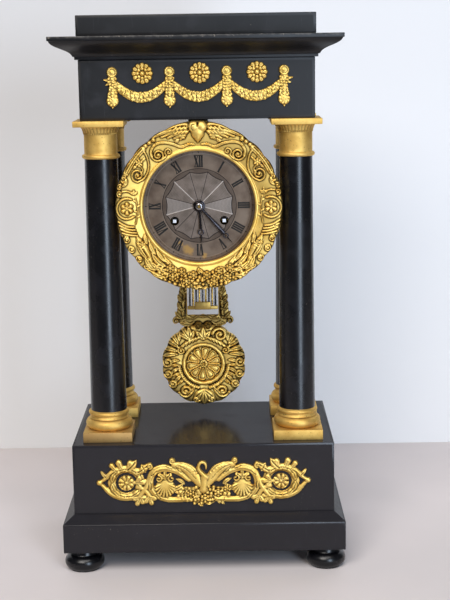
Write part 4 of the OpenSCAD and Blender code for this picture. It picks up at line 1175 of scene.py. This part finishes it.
def frame_side(r):
    """Acanthus up one side of the pendulum frame, with a curl at its foot."""
    r.stroke([(20.6, 5), (18.6, 30), (16.8, 46)], (5, 4.2, 3), 0.8)
    r.stroke([(15, 8), (15, 46)], 1, 1.9)
    r.stroke([(0, 4.2), (18, 3)], (4.9, 5.4), 1)
    stem = ((20, 5, 30), (19.4, 13, 42), (18.6, 21, 36), (17.6, 29, 52), (17, 37, 62))
    for i, (x, z, heading) in enumerate(stem):
        r.leaf(x, z, heading, 9.6 - 0.5 * i, 2.3, 2.7, 18)
        r.leaf(x - 1, z + 3, 100, 7, 1.7, 2.5, -14)
        r.dome(x - 1.4, z + 1.4, 1.3, 2.6)
    r.volute(25.4, 3, 3.4, 120, -1.3, 1.3, 2.6)
    r.leaf(12, -1.6, 14, 11, 2.4, 2.3)
    r.stroke(curve([(0, 6.6), (5, 7.4), (9, 5.4), (14, 7.4)]), 0.9, 1.9)
    r.stroke(curve([(8.4, 2), (12, 0), (17, 2.4)]), 1.1, 2)
    r.leaf(10, 5, 6, 9, 1.6, 2.2, 10)


def frame_relief(r):
    """Both leafy sides, and two flowers at the foot."""
    r.z = r.z - FRAME_FOOT
    r.both(frame_side)
    for x in (-4.6, 4.6):
        r.dome(x, -1.6, 4.2, 6)
        r.flower(x, -1.6, 3.9, 7, 7)
        r.groove(spiral(x, -1.6, 1.9, 1.9, 0, 1), 0.35, 1)


def make_frame():
    """The leafy pendulum frame, with its crossbar and middle block as softened bars."""
    bm = casting(frame_relief, (-29, FRAME_FOOT - 6), (29, FRAME_TOP), FRAME_BACK, step=0.5, thick=2.6)
    for half, tall, thick in (CROSSBAR, MIDDLE_BLOCK):
        join(bm, soft_block((-half, FRAME_BACK - thick, BAR_Z), (half, FRAME_BACK, BAR_Z + tall), BAR_ROUND))
    piece(bm, "pendulum_frame_casting", "pendulum", GILT_PAINTED_SHADE, ("pendulum_frame",), smooth_angle=60)


# Wood with softened and worn edges
WEAR_W = 2.2
WORN_REACH = 1.2
CASE_ROUND = 0.7
MOULDING_ROUND = 0.4


def mark_edges(bm, amount, worn=lambda v: True):
    """An edge attribute along the worn arrises, falling to 0 on the inner part of each broad face."""
    layer = bm.verts.layers.float.new("edge")
    for v in bm.verts:
        v[layer] = amount if worn(v) else 0.0
    broad = [f for f in bm.faces if min(e.calc_length() for e in f.edges) > 2.4 * WEAR_W * MM]
    bmesh.ops.inset_individual(bm, faces=broad, thickness=WEAR_W * MM, use_even_offset=True)
    for face in broad:
        for v in face.verts:
            v[layer] = 0.0


def wood_block(node, finish, wear):
    bm = soft_block(*corners_of(node), CASE_ROUND)
    mark_edges(bm, wear)
    piece(bm, node + "_polished", "case", finish, (node,))


def set_level(verts, half, step, floor):
    """Moves a rectangle's corners out to a step of a profile, keeping each in its own quarter."""
    out, rise = step
    for v in verts:
        x = math.copysign(half[0] + out, v.co.x)
        y = math.copysign(half[1] + out, v.co.y)
        v.co = Vector((x, y, floor + rise)) * MM


def moulded(node, profile, finish, wear, worn_depth):
    """A mitred moulding: a rectangle extruded up through steps of outward offset and height.

    Its outermost arrises are worn down to worn_depth below its top.
    """
    low, high = corners_of(node)
    out = max(p[0] for p in profile)
    half = ((high.x - low.x) / 2 - out, (high.y - low.y) / 2 - out)
    bm = bmesh.new()
    verts = add_block(bm, (-1, -1, low.z), (1, 1, low.z + 1))
    top = [v for v in verts if v.co.z > (low.z + 0.5) * MM]
    bottom = [v for v in verts if v not in top]
    set_level(bottom, half, profile[0], low.z)
    set_level(top, half, profile[1], low.z)
    face = next(f for f in bm.faces if all(v in top for v in f.verts))
    for step in profile[2:]:
        made = bmesh.ops.extrude_face_region(bm, geom=[face])["geom"]
        bmesh.ops.delete(bm, geom=[face], context="FACES_ONLY")
        face = next(g for g in made if isinstance(g, bmesh.types.BMFace))
        set_level(face.verts, half, step, low.z)
    bmesh.ops.recalc_face_normals(bm, faces=list(bm.faces))
    soften(bm, MOULDING_ROUND, 30)
    reach = [(side + out - WORN_REACH) * MM for side in half]
    floor = (high.z - worn_depth) * MM
    mark_edges(bm, wear, lambda v: v.co.z > floor and (abs(v.co.x) > reach[0] or abs(v.co.y) > reach[1]))
    piece(bm, node + "_polished", "case", finish, (node,), smooth_angle=32)


FILLET = 2.6
FASCIA_H = 3.6
OGEE_IN = 4.0
OGEE_BOW = 0.11
PLINTH_BEVEL_H = 7.0


def cornice_profile():
    """A fillet, an ogee and a fascia."""
    low, high = corners_of("cornice")
    rise = high.z - low.z
    out = half_width("cornice") - half_width("frieze_box")
    ogee = [(OGEE_IN + (out - OGEE_IN - 1) * (s - OGEE_BOW * math.sin(math.tau * s)),
             FILLET + (rise - FILLET - FASCIA_H) * s) for s in np.linspace(0, 1, 17)]
    return [(FILLET, 0), (FILLET, FILLET)] + ogee + [(out, rise - FASCIA_H), (out, rise)]


def plinth_profile():
    low, high = corners_of("base_plinth")
    rise = high.z - low.z
    bevel = half_width("base_plinth") - half_width("base_box")
    return [(0, 0), (0, rise - PLINTH_BEVEL_H), (-bevel, rise)]


def make_wood():
    wood_block("base_box", BASE_WOOD, 0.4)
    wood_block("frieze_box", SATIN_WOOD, 0.35)
    wood_block("attic", SATIN_WOOD, 0.45)
    moulded("cornice", cornice_profile(), SATIN_WOOD, wear=1.0, worn_depth=1.0)
    moulded("base_plinth", plinth_profile(), BASE_WOOD, wear=0.45, worn_depth=100.0)


# Turned work
SHAFT_TAPER = 1.6
FOOT_NECK_H = 5.0
ABACUS_H = 5.0
NECK_R = 14.4
FLARE_H = 8.6
TURNED_ROUND = 0.5
TONGUE_LOW = -5.6
BEAD_LOW = -7.4
TONGUES = 16
BEADS = 56


def spin_profile(bm, profile, centre, steps=96):
    """A turned solid from its profile of radius against height."""
    verts = [bm.verts.new(((centre[0] + r) * MM, centre[1] * MM, z * MM)) for r, z in profile]
    edges = [bm.edges.new(pair) for pair in zip(verts, verts[1:])]
    bmesh.ops.spin(bm, geom=verts + edges, cent=(centre[0] * MM, centre[1] * MM, 0), axis=(0, 0, 1),
                   angle=math.tau, steps=steps, use_merge=True)
    bmesh.ops.remove_doubles(bm, verts=list(bm.verts), dist=WELD)
    bmesh.ops.recalc_face_normals(bm, faces=list(bm.faces))


def make_shaft(corner):
    """A tapered shaft, with no worn arrises."""
    node = "column_shaft_" + corner
    low, high = corners_of(node)
    foot = half_width(node)
    bm = bmesh.new()
    sides = [(foot - SHAFT_TAPER * t, low.z + (high.z - low.z) * t) for t in np.linspace(0, 1, 9)]
    spin_profile(bm, [(0, low.z)] + sides + [(0, high.z)], centre_of(node))
    bm.verts.layers.float.new("edge")
    piece(bm, node + "_polished", "case", WOOD, (node,), smooth_angle=50)


def make_foot(corner):
    """A turned bun on a short neck."""
    node = "foot_" + corner
    top = corners_of(node)[1].z
    radius = half_width(node)
    tall = top - FOOT_NECK_H
    neck = radius - 5
    bun = arc((radius - tall / 2, tall / 2), tall / 2, -65, 80, 14)
    turned_neck = [(neck + 0.6, tall + 0.2), (neck, tall + 0.8), (neck, top), (0, top)]
    bm = bmesh.new()
    spin_profile(bm, [(0, 0), (bun[0][0], 0)] + bun + turned_neck, centre_of(node))
    piece(bm, node + "_turned", "case", WOOD, (node,), smooth_angle=50)


def make_column_base(corner):
    """A square block with a torus, a cove and a ring turned over it."""
    node = "column_base_" + corner
    low, high = corners_of(node)
    half = half_width(node)
    block_top = low.z + BLOCK_H
    torus = arc((half - 5.8, block_top + 4.8), 4.8, -75, 90, 12)
    cove = arc((half - 2.2, block_top + 12.6), 3.2, 235, 170, 6)
    ring = arc((16.2, high.z - 2.3), 1.9, -80, 85, 8)
    sunk = [(0, block_top - 0.5), (torus[0][0] - 0.4, block_top - 0.5)]
    step = [(torus[-1][0] - 0.4, torus[-1][1] + 0.7)]
    bm = bmesh.new()
    spin_profile(bm, sunk + torus + step + cove + ring + [(16, high.z), (0, high.z)], centre_of(node))
    join(bm, soft_block(low, (high.x, high.y, block_top), TURNED_ROUND))
    # The front-left base takes the copy with a painted dark reflection low down.
    finish = GILT_DARK_REFLECTION if corner == "front_left" else GILT_PLAIN
    piece(bm, node + "_turned", "case", finish, (node,))


def carve_capital(v, crease_shade, x, y, abacus):
    """Raises tongue leaves on the flare and a bead row under them, with painted shade between them."""
    away = Vector((v.co.x / MM - x, v.co.y / MM - y))
    z = v.co.z / MM - abacus
    if not BEAD_LOW < z < -0.6 or away.length < 10:
        return
    turn = math.atan2(away.y, away.x)
    tongue = abs(math.cos(turn * TONGUES)) ** 0.5
    bead = max(0.0, math.cos(turn * BEADS))
    rise = 0.5 * tongue if z > TONGUE_LOW else 0.4 * bead
    grown = away * (1 + rise / away.length)
    v.co.x = (x + grown.x) * MM
    v.co.y = (y + grown.y) * MM
    # Painted shade between the tongues and between the beads.
    v[crease_shade] = 0.75 * (1 - tongue) if z > TONGUE_LOW else 0.45 * (1 - bead)


def make_capital(corner):
    """A ring, a neck and a carved flare under a square abacus."""
    node = "column_capital_" + corner
    low, high = corners_of(node)
    x, y, _ = centre_of(node)
    abacus = high.z - ABACUS_H
    swell = half_width(node) - 3 - NECK_R
    ring = arc((14.6, low.z + 1.9), 1.9, -90, 90, 10)
    neck = [(NECK_R, z) for z in np.linspace(low.z + 4.4, abacus - FLARE_H - 1, 6)]
    flare = [(NECK_R + swell * (1 - math.cos(t)), abacus - FLARE_H * (1 - math.sin(t)))
             for t in np.linspace(0, math.pi / 2, 24)]
    bm = bmesh.new()
    spin_profile(bm, [(0, low.z)] + ring + neck + flare + [(0, abacus)], (x, y), 224)
    crease_shade = bm.verts.layers.float.new("crease_shade")
    for v in bm.verts:
        carve_capital(v, crease_shade, x, y, abacus)
    join(bm, soft_block((low.x, low.y, abacus), high, TURNED_ROUND))
    piece(bm, node + "_turned", "case", GILT_PLAIN, (node,))


def make_columns():
    for corner in CORNERS:
        make_shaft(corner)
        make_foot(corner)
        make_column_base(corner)
        make_capital(corner)


# Dial marks
NUMERALS = ("XII", "I", "II", "III", "IIII", "V", "VI", "VII", "VIII", "IX", "X", "XI")
NUMERAL_IN = 33.8
NUMERAL_OUT = 43.6
LETTER_W = {"I": 1.9, "V": 4.0, "X": 4.0}
THICK = 1.5
THIN = 0.66
SERIF = 0.6
MARK_T = 0.12
MINUTE_R = 46.5
# Length and width on the minute track
HOUR_MARK = (1.9, 0.6)
MINUTE_MARK = (0.9, 0.3)


def add_bar(bm, hour, ends, width):
    """A thin raised bar between two places across and along the radius at an hour."""
    (u0, v0), (u1, v1) = ends
    length = math.hypot(u1 - u0, v1 - v0)
    lean = math.atan2(v1 - v0, u1 - u0)
    dial = Matrix.Translation(Vector((0, DIAL_Y - MARK_T / 2, DIAL_Z)) * MM)
    middle = Matrix.Translation(Vector(((u0 + u1) / 2, 0, (v0 + v1) / 2)) * MM)
    size = Matrix.Diagonal((length * MM, MARK_T * MM, width * MM, 1))
    place = dial @ Matrix.Rotation(math.tau * hour / 12, 4, "Y") @ middle @ Matrix.Rotation(-lean, 4, "Y")
    bmesh.ops.create_cube(bm, size=1.0, matrix=place @ size)


def add_letter(bm, hour, letter, u):
    """One letter of an hour, its middle at u across the radius."""
    inner, outer = NUMERAL_IN, NUMERAL_OUT
    wide = LETTER_W[letter]
    if letter == "I":
        add_bar(bm, hour, ((u, inner), (u, outer)), THICK)
    if letter == "V":
        add_bar(bm, hour, ((u - 0.34 * wide, outer), (u, inner)), THICK)
        add_bar(bm, hour, ((u + 0.36 * wide, outer), (u, inner)), THIN)
    if letter == "X":
        add_bar(bm, hour, ((u - 0.34 * wide, outer), (u + 0.34 * wide, inner)), THICK)
        add_bar(bm, hour, ((u + 0.34 * wide, outer), (u - 0.34 * wide, inner)), THIN)
    for v in (outer,) if letter == "V" else (inner, outer):
        add_bar(bm, hour, ((u - wide / 2, v), (u + wide / 2, v)), SERIF)


def make_dial_marks():
    bm = bmesh.new()
    for hour, text in enumerate(NUMERALS):
        widths = [LETTER_W[c] for c in text]
        u = -sum(widths) / 2
        for letter, wide in zip(text, widths):
            add_letter(bm, hour, letter, u + wide / 2)
            u += wide
    for minute in range(60):
        length, width = MINUTE_MARK if minute % 5 else HOUR_MARK
        add_bar(bm, minute / 5, ((0, MINUTE_R - length / 2), (0, MINUTE_R + length / 2)), width)
    piece(bm, "dial_marks", "case", INK)


# Hands
RIDGE_NARROW = 0.45
RIDGE_LOW = 0.25
MOON_HALF = 0.55
HOUR_HEADING = 177
MINUTE_HEADING = 138.6


def add_ridge(bm, outline, y, thick):
    """A hand's blade: its outline at the back and a narrower ridge in front, closed as a hull."""
    levels = ((1, 0), (RIDGE_NARROW, thick), (1, RIDGE_LOW * thick))
    verts = [bm.verts.new((share * x * MM, (y - rise) * MM, z * MM))
             for share, rise in levels for x, z in outline]
    made = bmesh.ops.convex_hull(bm, input=verts)
    loose = {g for g in made["geom_interior"] + made["geom_unused"] if isinstance(g, bmesh.types.BMVert)}
    bmesh.ops.delete(bm, geom=list(loose), context="VERTS")


def add_hand_ring(bm, z, radius, half, y, thick):
    """A rounded ring round the place z above the dial centre."""
    ring = bmesh.new()
    section = arc((radius, 0), half, 0, 360, 11)[:-1]
    verts = [ring.verts.new((r * MM, (y - thick / 2 + d * thick / (2 * half)) * MM, z * MM))
             for r, d in section]
    edges = [ring.edges.new(pair) for pair in zip(verts, verts[1:] + verts[:1])]
    bmesh.ops.spin(ring, geom=verts + edges, cent=(0, 0, z * MM), axis=(0, 1, 0), angle=math.tau, steps=48,
                   use_merge=True)
    bmesh.ops.recalc_face_normals(ring, faces=list(ring.faces))
    join(bm, ring)


def make_hand(node, body, heading, length, moon_back, moon_r, hub, bore, blade):
    """A moon hand, drawn pointing up and then turned to its heading about the dial centre."""
    low, high = corners_of(node)
    y, thick = high.y, high.y - low.y
    moon = length - moon_back
    foot, neck, tip = hub - 0.6, moon - moon_r, moon + moon_r - 0.7
    bm = bmesh.new()
    add_hand_ring(bm, 0, (hub + bore) / 2, (hub - bore) / 2, y, thick)
    add_ridge(bm, [(-0.8, foot), (0.8, foot), (blade, neck - 0.4), (0.5, neck + 0.6), (-0.5, neck + 0.6),
                   (-blade, neck - 0.4)], y, thick)
    add_hand_ring(bm, moon, moon_r - MOON_HALF, MOON_HALF, y, thick)
    add_ridge(bm, [(-0.7, tip), (0.7, tip), (0.12, length), (-0.12, length)], y, thick)
    turn = Matrix.Translation((0, 0, DIAL_Z * MM)) @ Matrix.Rotation(math.radians(heading), 4, "Y")
    bmesh.ops.transform(bm, matrix=turn, verts=list(bm.verts))
    piece(bm, node + "_polished", body, BLUED, (node,), smooth_angle=30)


def make_hands():
    make_hand("hour_hand", "hour_pipe", HOUR_HEADING, length=33.5, moon_back=10.5, moon_r=2.7, hub=5.2,
              bore=3.85, blade=1.1)
    make_hand("minute_hand", "minute_arbor", MINUTE_HEADING, length=43.5, moon_back=9, moon_r=2.5, hub=4.2,
              bore=2.65, blade=1.9)


# Carried-over CAD nodes
NODE_FINISHES = {"pendulum_rods": RODS, "pendulum_frame": GILT_PAINTED_SHADE, "pendulum_yoke": GILT_PAINTED_SHADE,
                 "going_arbor": WINDING_PAINTED_BRIGHT, "strike_arbor": WINDING_PAINTED_BRIGHT}


def dress_frame():
    """Every CAD node takes its own finish, or that of its slot."""
    for name, obj in frame["nodes"].items():
        obj.data.materials.clear()
        obj.data.materials.append(NODE_FINISHES.get(name, FINISHES[SLOTS[name]]))


# Stage, light and camera, with planes and lamps placed in metres
CAMERA_AT = (23.06, -1223.05, 462.59)
CAMERA_PITCH = 0.1876
CAMERA_YAW = -0.0016
CAMERA_ROLL = -0.0150
FOCAL_PX = 1359.14
PHOTO_H = 600
SENSOR_H = 24.0
WALL_Y = 305.0


def make_camera():
    """The camera that the photograph was taken with, from its place, turns and focal length."""
    ahead = Vector((math.sin(CAMERA_YAW), math.cos(CAMERA_YAW), 0))
    right = Vector((math.cos(CAMERA_YAW), -math.sin(CAMERA_YAW), 0))
    rise = Vector((0, 0, 1))
    forward = ahead * math.cos(CAMERA_PITCH) - rise * math.sin(CAMERA_PITCH)
    over = ahead * math.sin(CAMERA_PITCH) + rise * math.cos(CAMERA_PITCH)
    across = right * math.cos(CAMERA_ROLL) + over * math.sin(CAMERA_ROLL)
    up = over * math.cos(CAMERA_ROLL) - right * math.sin(CAMERA_ROLL)
    data = bpy.data.cameras.new("photo_camera")
    data.sensor_fit = "VERTICAL"
    data.sensor_height = SENSOR_H
    data.lens = FOCAL_PX / PHOTO_H * SENSOR_H
    data.clip_start = 0.01
    camera = bpy.data.objects.new("photo_camera", data)
    turned = Matrix((across, up, -forward)).transposed().to_4x4()
    camera.matrix_world = Matrix.Translation(Vector(CAMERA_AT) * MM) @ turned
    bpy.context.scene.collection.objects.link(camera)
    bpy.context.scene.camera = camera


def stage_plane(name, material, place):
    bm = bmesh.new()
    bmesh.ops.create_grid(bm, x_segments=2, y_segments=2, size=1.0, matrix=place)
    mesh = bpy.data.meshes.new(name)
    bm.to_mesh(mesh)
    bm.free()
    mesh.materials.append(material)
    obj = bpy.data.objects.new(name, mesh)
    bpy.context.scene.collection.objects.link(obj)


def area_light(name, place, aim, size, power, colour):
    data = bpy.data.lights.new(name, "AREA")
    data.shape = "RECTANGLE"
    data.size, data.size_y = size
    data.energy = power
    data.color = colour
    lamp = bpy.data.objects.new(name, data)
    lamp.location = Vector(place)
    lamp.rotation_euler = (Vector(aim) - Vector(place)).to_track_quat("-Z", "Y").to_euler()
    bpy.context.scene.collection.objects.link(lamp)


def make_stage():
    stage_plane("floor", FLOOR, Matrix.Translation((0, -0.145, 0)) @ Matrix.Diagonal((1.6, 0.455, 1, 1)))
    upright = Matrix.Rotation(math.pi / 2, 4, "X") @ Matrix.Diagonal((0.7, 0.8, 1, 1))
    stage_plane("wall", WALL, Matrix.Translation((0, WALL_Y * MM, 0.5)) @ upright)
    world = bpy.data.worlds.new("room")
    world.use_nodes = True
    sky = world.node_tree.nodes["Background"].inputs
    sky["Color"].default_value = (0.86, 0.92, 1.0, 1.0)
    sky["Strength"].default_value = 0.1
    bpy.context.scene.world = world
    area_light("window", place=(0.95, -2.1, 0.35), aim=(0, 0, 0.28), size=(0.6, 1.7), power=39,
               colour=(0.7, 0.83, 1.0))
    area_light("room_front", place=(-0.75, -2.2, 1.9), aim=(0, 0, 0.25), size=(1.6, 1.0), power=43,
               colour=(1.0, 0.95, 0.89))
    area_light("ceiling", place=(0.0, -1.7, 2.6), aim=(0, -0.9, 0.0), size=(2.4, 1.4), power=44,
               colour=(1.0, 0.97, 0.94))
    bpy.context.scene.view_settings.view_transform = "Standard"


dress_frame()
make_wood()
make_columns()
make_bezel()
make_base_mount()
make_frieze()
make_bob()
make_frame()
make_dial_marks()
make_hands()
make_camera()
make_stage()
